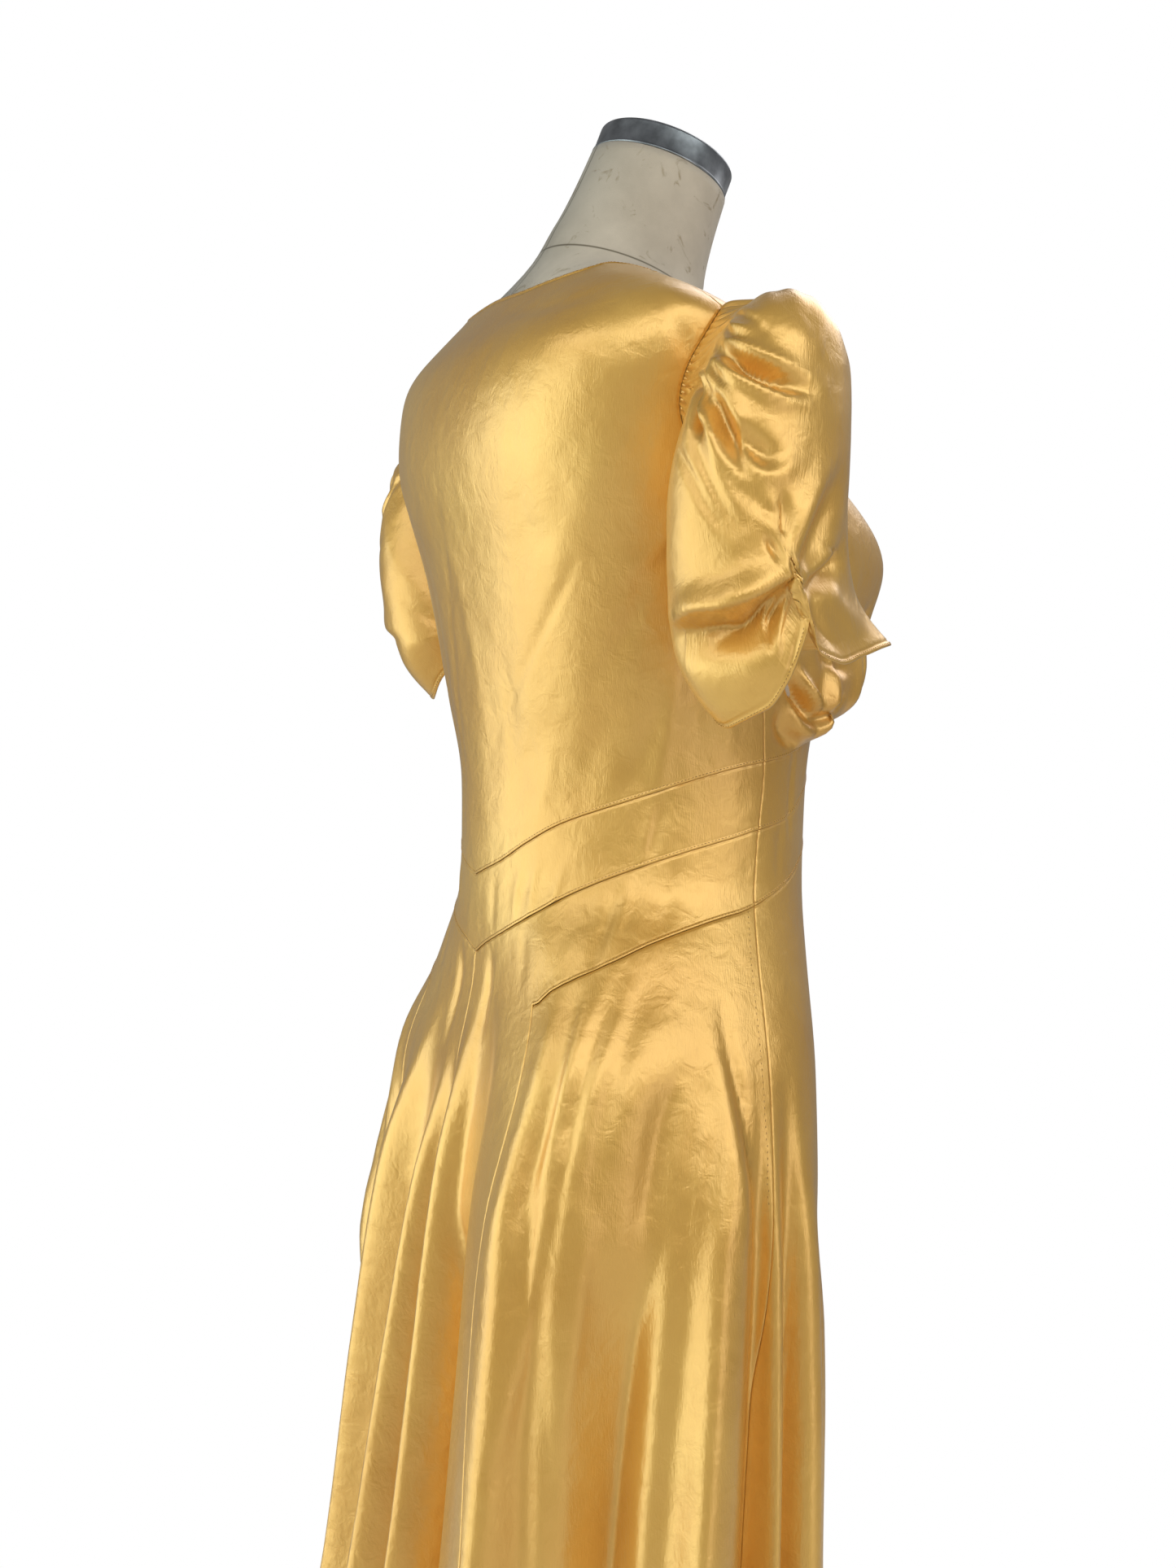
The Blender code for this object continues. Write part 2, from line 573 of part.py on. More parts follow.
def skirt(satin):
    """Two centre-back panels that hold the lower band, two gores and the front."""
    hem = station_of(HEM_HEIGHT)
    corner_height, corner_angle = GORE_SEAM[-1]
    hem_gore, hem_side = GORE_SEAM[0][1], SIDE_SEAM[0][1]
    side_low, side_mid = (float(right_side(station_of(z))) for z in SIDE_CROSSINGS[:2])

    inner = np.linspace(0.0, 1.0, 8)
    corner_row = level_row(inner * corner_angle, station_of(corner_height))
    centre_low = run_between(level_row(inner * hem_gore, hem), corner_row, SKIRT_ROWS, None, gore_angle)
    centre_high = run_between(corner_row, seam_row(BAND_SEAM, inner * corner_angle), BAND_ROWS)
    outer = np.linspace(0.0, 1.0, 14)
    low = seam_row(SKIRT_SEAM, corner_angle + (side_low - corner_angle) * outer)
    high = seam_row(BAND_SEAM, corner_angle + (side_mid - corner_angle) * outer)
    band = run_between(low, high, BAND_ROWS, None, right_side)
    blocks = [centre_low, centre_high, band]
    cloth_wall("back_panel_right", satin, blocks)
    cloth_wall("back_panel_left", satin, [mirrored(block) for block in blocks])

    top = seam_row(SKIRT_SEAM, np.linspace(corner_angle, side_low, 18))
    foot = level_row(np.linspace(hem_gore, hem_side, 18), hem)
    gore = run_between(foot, top, SKIRT_ROWS, gore_angle, right_side)
    cloth_wall("side_back_gore_right", satin, [gore])
    cloth_wall("side_back_gore_left", satin, [mirrored(gore)])

    top = front_row(SKIRT_SEAM, np.linspace(side_low, 360.0 - side_low, 43))
    foot = level_row(np.linspace(hem_side, 360.0 - hem_side, 43), hem)
    front = run_between(foot, top, SKIRT_ROWS, right_side, left_side_from_front)
    cloth_wall("front_skirt", satin, [front])


# The armhole's rim on the right side, as a closed run of points from the shoulder tip by the back
RIM_ANGLES = np.concatenate((armhole_edge(1, -1)[::-1], armhole_edge(1, 1)[1:]))
RIM_POINTS = gown_point(RIM_ANGLES[:, 0], RIM_ANGLES[:, 1])
RIM_NORMALS = face_normal(gown_point, RIM_ANGLES[:, 0], RIM_ANGLES[:, 1])
RIM_AROUND = np.linspace(0.0, 360.0, len(RIM_POINTS))


def rim_point(around, along):
    """The sleeve's first stretch, just inside the armhole and standing out of it."""
    around = around % 360.0
    point = np.stack([np.interp(around, RIM_AROUND, RIM_POINTS[:, i]) for i in range(3)], axis=-1)
    normal = np.stack([np.interp(around, RIM_AROUND, RIM_NORMALS[:, i]) for i in range(3)], axis=-1)
    middle = RIM_POINTS.mean(axis=0)
    inward = middle - point
    inward /= np.linalg.norm(inward, axis=-1, keepdims=True)
    reach = -CLOTH + along * 0.11
    return point + inward * SEAM_GAP + normal * reach[..., None]


def sleeve_fold(around, along):
    """Depth of the sleeve's main folds."""
    total = np.zeros(np.broadcast(around, along).shape)
    for a0, t0, a1, t1, depth, half_width in SLEEVE_FOLDS:
        start = np.array((a0 * SLEEVE_DEGREE, t0 * SLEEVE_LENGTH))
        reach = np.array((a1 * SLEEVE_DEGREE, t1 * SLEEVE_LENGTH)) - start
        for turns in (-360.0, 0.0, 360.0):
            x, y = (around + turns) * SLEEVE_DEGREE - start[0], along * SLEEVE_LENGTH - start[1]
            share = np.clip((x * reach[0] + y * reach[1]) / reach.dot(reach), 0.0, 1.0)
            away = np.hypot(x - share * reach[0], y - share * reach[1])
            total -= depth * np.exp(-(away / half_width)**2) * (0.35 + 0.65 * np.sin(math.pi * share))
    return total


def sleeve_point(around, along):
    """A point of the right sleeve: around is 0 at the top, 90 back, 180 underarm, 270 front."""
    around, along = np.broadcast_arrays(np.asarray(around, float), np.asarray(along, float))
    top_out, top_height, under_out, under_height, half_depth, middle = read_table(SLEEVE_RINGS, along)
    turn = np.radians(around)
    share = 0.5 + 0.5 * np.cos(turn)
    out = under_out + (top_out - under_out) * share
    height = under_height + (top_height - under_height) * share
    puff = np.stack((-out, middle + half_depth * np.sin(turn), height), axis=-1)

    outward, back, down = read_table(SLEEVE_HEM, around % 360.0)
    near_hem = ramp(along, SLEEVE_HEM_STARTS, 1.0)**1.4
    puff += near_hem[..., None] * np.stack((-outward, back, -down), axis=-1)

    axis = np.stack((-0.5 * (top_out + under_out), middle, 0.5 * (top_height + under_height)), axis=-1)
    away = puff - axis
    away /= np.linalg.norm(away, axis=-1, keepdims=True)
    rise = np.where(around % 360.0 <= 180.0, around % 360.0, 360.0 - around % 360.0) / 180.0
    gathered = 1.0 - ramp(rise, SLEEVE_GATHERED_TO - 0.08, SLEEVE_GATHERED_TO)
    wave = np.cos(2.0 * math.pi * SLEEVE_GATHERS * rise / SLEEVE_GATHERED_TO)
    from_seam = np.clip(along - 0.03, 0.0, None) / 0.09
    lift = SLEEVE_GATHER_DEPTH * gathered * wave * from_seam * np.exp(1.0 - from_seam)
    lift = lift + sleeve_fold(around % 360.0, along) * ramp(along, 0.05, 0.14)
    puff += lift[..., None] * away

    blend = ramp(along, 0.03, 0.20)[..., None]
    return rim_point(around, along) * (1.0 - blend) + puff * blend


def left_sleeve_point(around, along):
    """The left sleeve: swung a little further back, its hem hanging more level."""
    point = sleeve_point(-np.asarray(around, float), along)
    swing = ramp(along, 0.03, 0.25)
    point[..., 0] *= -1.0
    point[..., 1] += LEFT_SLEEVE_BACK * swing
    behind = ramp(point[..., 1], 0.0, 0.06) * ramp(along, SLEEVE_HEM_STARTS, 1.0)
    point[..., 2] += LEFT_SLEEVE_LIFT * behind
    return point


def sleeves(satin):
    """Short puff sleeves: gathered into the armhole and drawn up at the outer hem."""
    gathered = np.linspace(0.0, SLEEVE_GATHERED_TO, 4 * SLEEVE_GATHERS + 1)
    plain = np.linspace(SLEEVE_GATHERED_TO, 1.0, 5)[1:]
    half = 180.0 * np.concatenate((gathered, plain))
    around = np.concatenate((half, 360.0 - half[::-1][1:]))
    block = np.stack(np.meshgrid(around, SLEEVE_ALONG), axis=-1)
    cloth_wall("sleeve_right", satin, [block], sleeve_point, SLEEVE_COARSE_FROM)
    cloth_wall("sleeve_left", satin, [block], left_sleeve_point, SLEEVE_COARSE_FROM)


def form_torso(linen):
    """Padded linen torso with its bare neck, closed flat at the foot and the neck."""
    levels = np.concatenate((np.linspace(FORM_FOOT, 1.29, 12), FORM_SHOULDER_LEVELS))
    columns = 36
    bm = bmesh.new()
    rings = []
    for height in levels:
        angles = np.arange(columns) * 360.0 / columns - 180.0
        ring = form_point(angles, np.full(columns, station_of(height)))
        if height == FORM_FOOT:
            ring[:, 2] = FORM_FOOT
        rings.append([bm.verts.new(co) for co in ring])
    for low, high in zip(rings[:-1], rings[1:]):
        for j in range(columns):
            k = (j + 1) % columns
            bm.faces.new((low[j], low[k], high[k], high[j]))
    bm.faces.new(rings[0][::-1])
    bm.faces.new(rings[-1])
    add_object("form_torso", bm, linen)


def turned(name, profile, material, matrix=Matrix.Identity(4), steps=32):
    """A solid turned about its own upright axis from a profile of radius and height."""
    bm = bmesh.new()
    verts = [bm.verts.new((radius, 0.0, height)) for radius, height in profile]
    edges = [bm.edges.new(pair) for pair in zip(verts[:-1], verts[1:])]
    bmesh.ops.spin(bm, geom=verts + edges, cent=(0, 0, 0), axis=(0, 0, 1), angle=2 * math.pi, steps=steps)
    bmesh.ops.remove_doubles(bm, verts=bm.verts[:], dist=0.00001)
    bmesh.ops.transform(bm, matrix=matrix, verts=bm.verts[:])
    return add_object(name, bm, material)


def stand(steel, iron, plate):
    """Neck cap, pole and cast base."""
    _, _, back, front, middle, lean, _ = SECTIONS[-1]
    tilt = math.radians(lean)
    centre_y = 0.5 * (back - front)
    centre = Vector((0.0, centre_y, NECK_TOP + (centre_y - middle) * math.tan(tilt)))
    place = Matrix.Translation(centre) @ Matrix.Rotation(tilt, 4, "X") @ Matrix.Translation((0, 0, SEAM_GAP))
    rim = 0.0022
    turned("neck_cap", (
        (0.0, 0.0), (CAP_RADIUS, 0.0), (CAP_RADIUS, CAP_HEIGHT - rim),
        (CAP_RADIUS - 0.3 * rim, CAP_HEIGHT - 0.3 * rim), (CAP_RADIUS - rim, CAP_HEIGHT), (0.0, CAP_HEIGHT),
    ), plate, place)
    pole_foot = HUB_HEIGHT + SEAM_GAP
    turned("pole", (
        (0.0, pole_foot), (POLE_RADIUS, pole_foot), (POLE_RADIUS, FORM_FOOT - SEAM_GAP),
        (0.0, FORM_FOOT - SEAM_GAP),
    ), steel, steps=24)
    turned("base", (
        (0.0, 0.0), (BASE_RADIUS, 0.0), (BASE_RADIUS, 0.6 * BASE_HEIGHT), (BASE_RADIUS - 0.006, BASE_HEIGHT),
        (2.0 * HUB_RADIUS, BASE_HEIGHT + 0.006), (HUB_RADIUS, BASE_HEIGHT + 0.016), (HUB_RADIUS, HUB_HEIGHT),
        (0.0, HUB_HEIGHT),
    ), iron)


def build():
    for item in list(bpy.data.objects):
        bpy.data.objects.remove(item, do_unlink=True)
    satin = make_material("gold_silk_satin", (0.76, 0.45, 0.13), 0.34)
    linen = make_material("form_linen", (0.48, 0.42, 0.33), 0.9)
    plate = make_material("neck_cap_steel", (0.42, 0.43, 0.45), 0.38, 1.0)
    steel = make_material("pole_steel", (0.55, 0.55, 0.56), 0.3, 1.0)
    iron = make_material("base_cast_iron", (0.06, 0.06, 0.06), 0.6)
    back_bodice(satin)
    front_bodice(satin)
    waist_bands(satin)
    skirt(satin)
    sleeves(satin)
    form_torso(linen)
    stand(steel, iron, plate)


build()
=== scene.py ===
import math

import bmesh
import bpy
import numpy as np
from mathutils import Matrix, Vector
from mathutils.bvhtree import BVHTree
from mathutils.kdtree import KDTree


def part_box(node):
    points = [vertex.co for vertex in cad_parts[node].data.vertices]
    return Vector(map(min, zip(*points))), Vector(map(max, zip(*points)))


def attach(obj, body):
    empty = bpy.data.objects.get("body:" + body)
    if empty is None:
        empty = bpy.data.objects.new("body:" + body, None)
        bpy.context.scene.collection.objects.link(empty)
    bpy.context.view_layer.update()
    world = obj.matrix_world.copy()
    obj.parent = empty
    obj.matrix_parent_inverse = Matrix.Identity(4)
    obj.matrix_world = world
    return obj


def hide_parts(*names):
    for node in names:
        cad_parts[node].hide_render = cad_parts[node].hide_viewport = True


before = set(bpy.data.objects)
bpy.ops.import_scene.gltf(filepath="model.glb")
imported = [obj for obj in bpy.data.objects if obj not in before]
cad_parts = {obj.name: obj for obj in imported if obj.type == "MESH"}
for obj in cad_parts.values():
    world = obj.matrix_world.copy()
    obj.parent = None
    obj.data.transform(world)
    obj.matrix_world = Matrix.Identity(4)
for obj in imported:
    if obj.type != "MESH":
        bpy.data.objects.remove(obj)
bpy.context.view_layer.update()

# Dress form: papier-mache and wadding shaped to a general woman's figure, under a tight cover
# of unbleached linen. The cover is cut in upright panels, hand-sewn and glued, and has aged
# to a greyish beige with faint tide marks. The gown hangs on its shoulders.

# height, half width, back, front, widest at y, lean in degrees, squareness of the back
FIGURE = (
    (0.015, 0.285, 0.330, 0.175, 0.040, 0.0, 0.000),
    (0.300, 0.235, 0.250, 0.120, 0.026, 0.0, 0.030),
    (0.600, 0.176, 0.155, 0.073, 0.004, 0.0, 0.090),
    (0.750, 0.171, 0.140, 0.081, 0.000, 0.0, 0.110),
    (0.850, 0.169, 0.132, 0.084, 0.000, 0.0, 0.115),
    (0.930, 0.160, 0.119, 0.088, 0.000, 0.0, 0.115),
    (0.998, 0.139, 0.107, 0.0925, -0.004, 0.0, 0.060),
    (1.045, 0.1235, 0.107, 0.0965, -0.010, 0.0, 0.000),
    (1.100, 0.121, 0.107, 0.100, -0.010, 0.0, 0.000),
    (1.160, 0.129, 0.113, 0.102, 0.000, 0.0, 0.020),
    (1.230, 0.143, 0.122, 0.102, 0.010, 0.0, 0.030),
    (1.300, 0.160, 0.136, 0.081, 0.022, 2.0, 0.040),
    (1.345, 0.171, 0.128, 0.066, 0.030, 5.0, 0.040),
    (1.366, 0.171, 0.110, 0.057, 0.034, 8.0, 0.020),
    (1.382, 0.151, 0.095, 0.050, 0.036, 12.0, 0.000),
    (1.396, 0.111, 0.082, 0.044, 0.032, 16.0, 0.000),
    (1.408, 0.069, 0.068, 0.042, 0.016, 20.0, 0.000),
    (1.425, 0.051, 0.054, 0.042, 0.006, 22.0, 0.000),
    (1.455, 0.0465, 0.038, 0.049, -0.005, 22.0, 0.000),
    (1.483, 0.0445, 0.0250, 0.0585, -0.017, 22.0, 0.000),
)
HEM_HEIGHT = FIGURE[0][0]
NECK_TOP = FIGURE[-1][0]
# Fullness of the bust: x, height, half width, half height, forward
BUST = (
    (0.074, 1.236, 0.046, 0.046, 0.051),
    (-0.074, 1.236, 0.046, 0.046, 0.051),
)
# Space between the gown's outer face and the form: height, space
FORM_INSET = (
    (0.850, 0.0095), (0.930, 0.0075), (1.000, 0.0064), (1.060, 0.0054), (1.300, 0.0050),
    (1.335, 0.0066), (1.372, 0.0064), (1.388, 0.0048), (1.405, 0.0041), (1.430, 0.0), (NECK_TOP, 0.0),
)
FORM_BUST = 0.86
FORM_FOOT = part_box("form_torso")[0].z


def read_table(table, at):
    """Read a table's other columns at places along its first one, with no overshoot."""
    rows = np.array(table, dtype=float)
    places, values = rows[:, 0], rows[:, 1:]
    rates = np.diff(values, axis=0) / np.diff(places)[:, None]
    before, after = rates[:-1], rates[1:]
    agree = before * after > 0.0
    slopes = np.zeros_like(values)
    slopes[0], slopes[-1] = rates[0], rates[-1]
    slopes[1:-1] = np.where(agree, 2.0 * before * after / np.where(agree, before + after, 1.0), 0.0)
    at = np.asarray(at, dtype=float)
    low = np.clip(np.searchsorted(places, at) - 1, 0, len(places) - 2)
    step = (places[low + 1] - places[low])[..., None]
    t = (np.clip(at, places[0], places[-1]) - places[low])[..., None] / step
    result = (2 * t**3 - 3 * t**2 + 1) * values[low] + (t**3 - 2 * t**2 + t) * step * slopes[low]
    result += (3 * t**2 - 2 * t**3) * values[low + 1] + (t**3 - t**2) * step * slopes[low + 1]
    return np.moveaxis(result, -1, 0)


def ramp(value, start, end):
    """Smooth step from 0 at start to 1 at end."""
    t = np.clip((np.asarray(value, dtype=float) - start) / (end - start), 0.0, 1.0)
    return t * t * (3.0 - 2.0 * t)


# The figure's rows by station, a length measured up it, softened so that no row shows as a ring
figure_rows = np.array(FIGURE)
row_steps = np.linalg.norm(np.diff(figure_rows[:, :3], axis=0), axis=1)
row_stations = np.concatenate(([0.0], np.cumsum(row_steps)))
STATIONS = np.linspace(0.0, row_stations[-1], 3200)
STATION_STEP = STATIONS[1]
ROWS = read_table(np.column_stack((row_stations, figure_rows)), STATIONS)
SOFTEN = 0.009
reach = int(3.0 * SOFTEN / STATION_STEP)
weights = np.exp(-0.5 * (np.arange(-reach, reach + 1) * STATION_STEP / SOFTEN)**2)
weights /= weights.sum()
soft = []
for row in ROWS:
    ends = np.concatenate((2.0 * row[0] - row[reach:0:-1], row, 2.0 * row[-1] - row[-2:-reach - 2:-1]))
    soft.append(np.convolve(ends, weights, "valid"))
ROWS = np.array(soft)
HEIGHTS = ROWS[0]


def station_of(height):
    return np.interp(height, HEIGHTS, STATIONS)


def height_at(station):
    return np.interp(station, STATIONS, HEIGHTS)


def section_point(angle, station):
    """A point of the plain figure: angle is 0 at centre back, 90 on the wearer's right."""
    height, half_width, back, front, widest, lean, square = (np.interp(station, STATIONS, row) for row in ROWS)
    turn = np.radians(angle)
    square = square * (0.5 + 0.5 * np.cos(turn))
    across = (np.sin(turn) + square * np.sin(3 * turn)) / (1.0 - square)
    along = (np.cos(turn) - square * np.cos(3 * turn)) / (1.0 - square)
    depth = np.where(np.cos(turn) >= 0.0, back - widest, front + widest) * along
    rise = depth * np.tan(np.radians(lean))
    return np.stack((-half_width * across, widest + depth, height + rise), axis=-1)


def with_bust(points, angle, share):
    """Move the front forward where the bust fills it."""
    points = points.copy()
    facing = ramp(-np.cos(np.radians(angle)), -0.15, 0.45)
    for x, height, half_width, half_height, forward in BUST:
        off = ((points[..., 0] - x) / half_width)**2 + ((points[..., 2] - height) / half_height)**2
        points[..., 1] -= share * forward * facing * np.exp(-0.5 * off)
    return points


def face_normal(face, first, second):
    """Outward unit normals of a face given by two numbers."""
    first_step, second_step = 0.05, 0.0004
    across = face(first + first_step, second) - face(first - first_step, second)
    up = face(first, second + second_step) - face(first, second - second_step)
    normal = np.cross(across, up)
    return normal / np.linalg.norm(normal, axis=-1, keepdims=True)


def form_point(angle, station):
    """A point of the dress form, inside the gown and bare at the neck."""
    def bare(a, s):
        return with_bust(section_point(a, s), a, FORM_BUST)
    inset = read_table(FORM_INSET, height_at(station))[0]
    return bare(angle, station) - face_normal(bare, angle, station) * inset[..., None]


def grid_mesh(name, points, uv, joined=False):
    """An operator-made grid with its points moved to their places, joined where its sides meet."""
    rows, columns = points.shape[0] - 1, points.shape[1] - 1
    bm = bmesh.new()
    bmesh.ops.create_grid(bm, x_segments=columns, y_segments=rows, size=1.0)
    mesh = bpy.data.meshes.new(name)
    bm.to_mesh(mesh)
    bm.free()
    flat = np.empty(len(mesh.vertices) * 3)
    mesh.vertices.foreach_get("co", flat)
    flat = flat.reshape(-1, 3)
    column = np.rint((flat[:, 0] + 1.0) * 0.5 * columns).astype(int)
    row = np.rint((flat[:, 1] + 1.0) * 0.5 * rows).astype(int)
    mesh.vertices.foreach_set("co", points[row, column].ravel())
    corners = np.empty(len(mesh.loops), dtype=np.int32)
    mesh.loops.foreach_get("vertex_index", corners)
    mesh.uv_layers.new(name="cloth").data.foreach_set("uv", uv[row[corners], column[corners]].ravel())
    if joined:
        bm = bmesh.new()
        bm.from_mesh(mesh)
        bmesh.ops.remove_doubles(bm, verts=bm.verts[:], dist=0.00001)
        bm.to_mesh(mesh)
        bm.free()
    mesh.update()
    return mesh


def place(mesh, material):
    """Put a mesh into the scene as one smooth piece with its finish."""
    mesh.shade_smooth()
    mesh.materials.append(material)
    piece = bpy.data.objects.new(mesh.name, mesh)
    bpy.context.scene.collection.objects.link(piece)
    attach(piece, "root")
    return piece


def colour(hex_value):
    """An sRGB hex colour as linear red, green, blue and alpha."""
    parts = [int(hex_value[i:i + 2], 16) / 255.0 for i in (1, 3, 5)]
    return (*(c / 12.92 if c <= 0.04045 else ((c + 0.055) / 1.055)**2.4 for c in parts), 1.0)


def new_material(name, **settings):
    """A material, its shader with sockets set by name, and each point's place on its object."""
    material = bpy.data.materials.new(name)
    material.use_nodes = True
    shader = material.node_tree.nodes["Principled BSDF"]
    for key, value in settings.items():
        shader.inputs[key.replace("_", " ")].default_value = value
    return material, shader, add_node(material, "ShaderNodeTexCoord").outputs["Object"]


def socket(sockets, name):
    """The socket of that name that is in use, as some nodes have several."""
    return next(item for item in sockets if item.name == name and item.enabled)


def add_node(owner, kind, links=None, **settings):
    """Add a node: settings name its properties or, with underscores for spaces, its sockets."""
    node = owner.node_tree.nodes.new(kind)
    for key, value in settings.items():
        if hasattr(node, key):
            setattr(node, key, value)
        else:
            socket(node.inputs, key.replace("_", " ")).default_value = value
    for name, source in (links or {}).items():
        owner.node_tree.links.new(source, socket(node.inputs, name))
    return node


def wire(owner, source, node, name):
    owner.node_tree.links.new(source, node.inputs[name])


def noise(owner, where, scale, **settings):
    return add_node(owner, "ShaderNodeTexNoise", {"Vector": where}, Scale=scale, **settings).outputs["Fac"]


def spread(owner, value, **ends):
    """A value mapped from one range to another."""
    return add_node(owner, "ShaderNodeMapRange", {"Value": value}, **ends).outputs["Result"]


def maths(owner, operation, *values):
    """The result of a sum on values, each a number or a node's output."""
    node = add_node(owner, "ShaderNodeMath", operation=operation)
    for entry, value in zip(node.inputs, values):
        if isinstance(value, float):
            entry.default_value = value
        else:
            owner.node_tree.links.new(value, entry)
    return node.outputs["Value"]


def tones(owner, value, low, high, start=0.0, end=1.0):
    """Colours from low to high as a value goes from start to end."""
    node = add_node(owner, "ShaderNodeValToRGB", {"Fac": value})
    for element, at, shade in zip(node.color_ramp.elements, (start, end), (low, high)):
        element.position = at
        element.color = colour(shade)
    return node.outputs["Color"]


def multiplied(owner, first, second):
    """One colour laid over another as a stain is."""
    node = add_node(owner, "ShaderNodeMix", {"A": first, "B": second}, data_type="RGBA", blend_type="MULTIPLY",
                    Factor=1.0)
    return socket(node.outputs, "Result")


def bumped(owner, height, depth, normal=None, strength=1.0):
    """A normal tilted by a height that is depth metres from low to high, over another if given."""
    links = {"Height": height, "Normal": normal} if normal else {"Height": height}
    return add_node(owner, "ShaderNodeBump", links, Strength=strength, Distance=depth).outputs["Normal"]


# Plain-woven linen, calendered and glued down: a matt, slightly uneven beige with a thread
# spacing of about 0.6 mm, blotched by old glue and handling.
linen, shader, where = new_material("aged_linen", Roughness=0.88, Sheen_Weight=0.15)
stain = noise(linen, where, 14.0, Detail=6.0, Roughness=0.6)
tide = noise(linen, where, 75.0, Detail=5.0, Roughness=0.6, Distortion=0.8)
wear_and_painted_shade = multiplied(linen, tones(linen, stain, "#BBAFA0", "#D3C7B8", 0.34, 0.62),
                  tones(linen, tide, "#CFC6B4", "#FFFFFF", 0.30, 0.40))
# Painted light and shade: the cover is painted lighter towards the wearer's right and greyer towards the left,
# as the light falls on the neck
aside = add_node(linen, "ShaderNodeSeparateXYZ", {"Vector": where}).outputs["X"]
painted_side_shade = spread(linen, aside, From_Min=-0.045, From_Max=0.02)
wear_and_painted_shade = multiplied(linen, wear_and_painted_shade, tones(linen, painted_side_shade, "#FFFAF4", "#A3A1A1"))
# Seams: one down each of centre back and front, and a ring at the foot of the neck
SEAM_HALF = 0.0006
RING_HEIGHT = 1.407
RING_SLOPE = 0.4
ring = add_node(linen, "ShaderNodeVectorMath", {"Vector": where}, operation="DOT_PRODUCT")
ring.inputs[1].default_value = (0.0, -RING_SLOPE, 1.0)
off_ring = maths(linen, "ABSOLUTE", maths(linen, "SUBTRACT", ring.outputs["Value"], RING_HEIGHT))
nearest = maths(linen, "MINIMUM", maths(linen, "ABSOLUTE", aside), off_ring)
joins = spread(linen, nearest, From_Min=SEAM_HALF * 0.4, From_Max=SEAM_HALF * 2.0)
wire(linen, multiplied(linen, wear_and_painted_shade, tones(linen, joins, "#8E8778", "#FFFFFF")), shader, "Base Color")
THREAD = 0.0006
weave = noise(linen, where, 1.0 / THREAD, Detail=2.0)
wire(linen, bumped(linen, weave, 0.0004, strength=0.25), shader, "Normal")

columns = np.linspace(-180.0, 180.0, 121)
levels = station_of(np.linspace(FORM_FOOT, NECK_TOP, 130))
angles, stations = np.meshgrid(columns, levels)
torso = form_point(angles, stations)
torso[0, :, 2] = FORM_FOOT
foot_middle = torso[:1].mean(axis=1, keepdims=True).repeat(len(columns), axis=1)
neck_middle = torso[-1:].mean(axis=1, keepdims=True).repeat(len(columns), axis=1)
torso = np.concatenate((foot_middle, torso, neck_middle))
uv = np.stack(np.meshgrid(columns, np.arange(len(torso))), axis=-1) * 0.01
form_cover = place(grid_mesh("form_cover", torso, uv, joined=True), linen)
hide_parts("form_torso")

# Neck cap: a pressed steel lid fitted over the form's neck. It is turned thin sheet with a
# rolled lower edge, dulled and finely scratched by decades of handling.
CAP_RIM = 0.0022
cap_low, cap_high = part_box("neck_cap")
CAP_LEAN = math.radians(FIGURE[-1][5])
CAP_RADIUS = 0.5 * (cap_high.x - cap_low.x)
CAP_HEIGHT = (cap_high.z - cap_low.z - 2.0 * CAP_RADIUS * math.sin(CAP_LEAN)) / math.cos(CAP_LEAN)
cap_middle = 0.5 * (cap_low + cap_high)

SCRATCH = 0.0008
steel, shader, where = new_material("worn_pressed_steel", Metallic=1.0)
cloud = noise(steel, where, 90.0, Detail=5.0)
wire(steel, tones(steel, cloud, "#75777B", "#A5A8AD", 0.30, 0.70), shader, "Base Color")
fine = noise(steel, where, 1.0 / SCRATCH, Detail=3.0)
wire(steel, spread(steel, fine, To_Min=0.28, To_Max=0.46), shader, "Roughness")


def turned(name, profile, steps):
    """A closed mesh spun from a profile of radius and height about the upright axis."""
    bm = bmesh.new()
    verts = [bm.verts.new((radius, 0.0, height)) for radius, height in profile]
    edges = [bm.edges.new(pair) for pair in zip(verts[:-1], verts[1:])]
    bmesh.ops.spin(bm, geom=verts + edges, cent=(0, 0, 0), axis=(0, 0, 1), angle=2 * math.pi, steps=steps,
                   use_merge=True)
    bmesh.ops.remove_doubles(bm, verts=bm.verts[:], dist=0.00001)
    bmesh.ops.recalc_face_normals(bm, faces=bm.faces[:])
    return bm


def arc(centre, radius, start, end, steps):
    """Points of radius and height along a quarter or other arc, angles in degrees."""
    turns = np.radians(np.linspace(start, end, steps + 1))
    return [(centre[0] + radius * math.cos(t), centre[1] + radius * math.sin(t)) for t in turns]


def finished(bm, name, material, sharp=40.0):
    """Turn a bmesh into a placed piece with crisp edges kept."""
    mesh = bpy.data.meshes.new(name)
    bm.to_mesh(mesh)
    bm.free()
    piece = place(mesh, material)
    mesh.set_sharp_from_angle(angle=math.radians(sharp))
    return piece


ROLL = 0.0009
half = 0.5 * CAP_HEIGHT
profile = [(0.0, -half), (CAP_RADIUS - ROLL, -half)]
profile += arc((CAP_RADIUS - ROLL, -half + ROLL), ROLL, -90.0, 60.0, 6)
profile += [(CAP_RADIUS - 0.8 * ROLL, -half + 2.4 * ROLL)]
profile += arc((CAP_RADIUS - 0.8 * ROLL - CAP_RIM, half - CAP_RIM), CAP_RIM, 0.0, 90.0, 6)
profile += [(0.55 * CAP_RADIUS, half - 0.0002), (0.0, half)]
bm = turned("neck_cap_lid", profile, 96)
to_neck = Matrix.Translation(cap_middle) @ Matrix.Rotation(CAP_LEAN, 4, "X")
bmesh.ops.transform(bm, matrix=to_neck, verts=bm.verts[:])
cap = finished(bm, "neck_cap_lid", steel)
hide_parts("neck_cap")

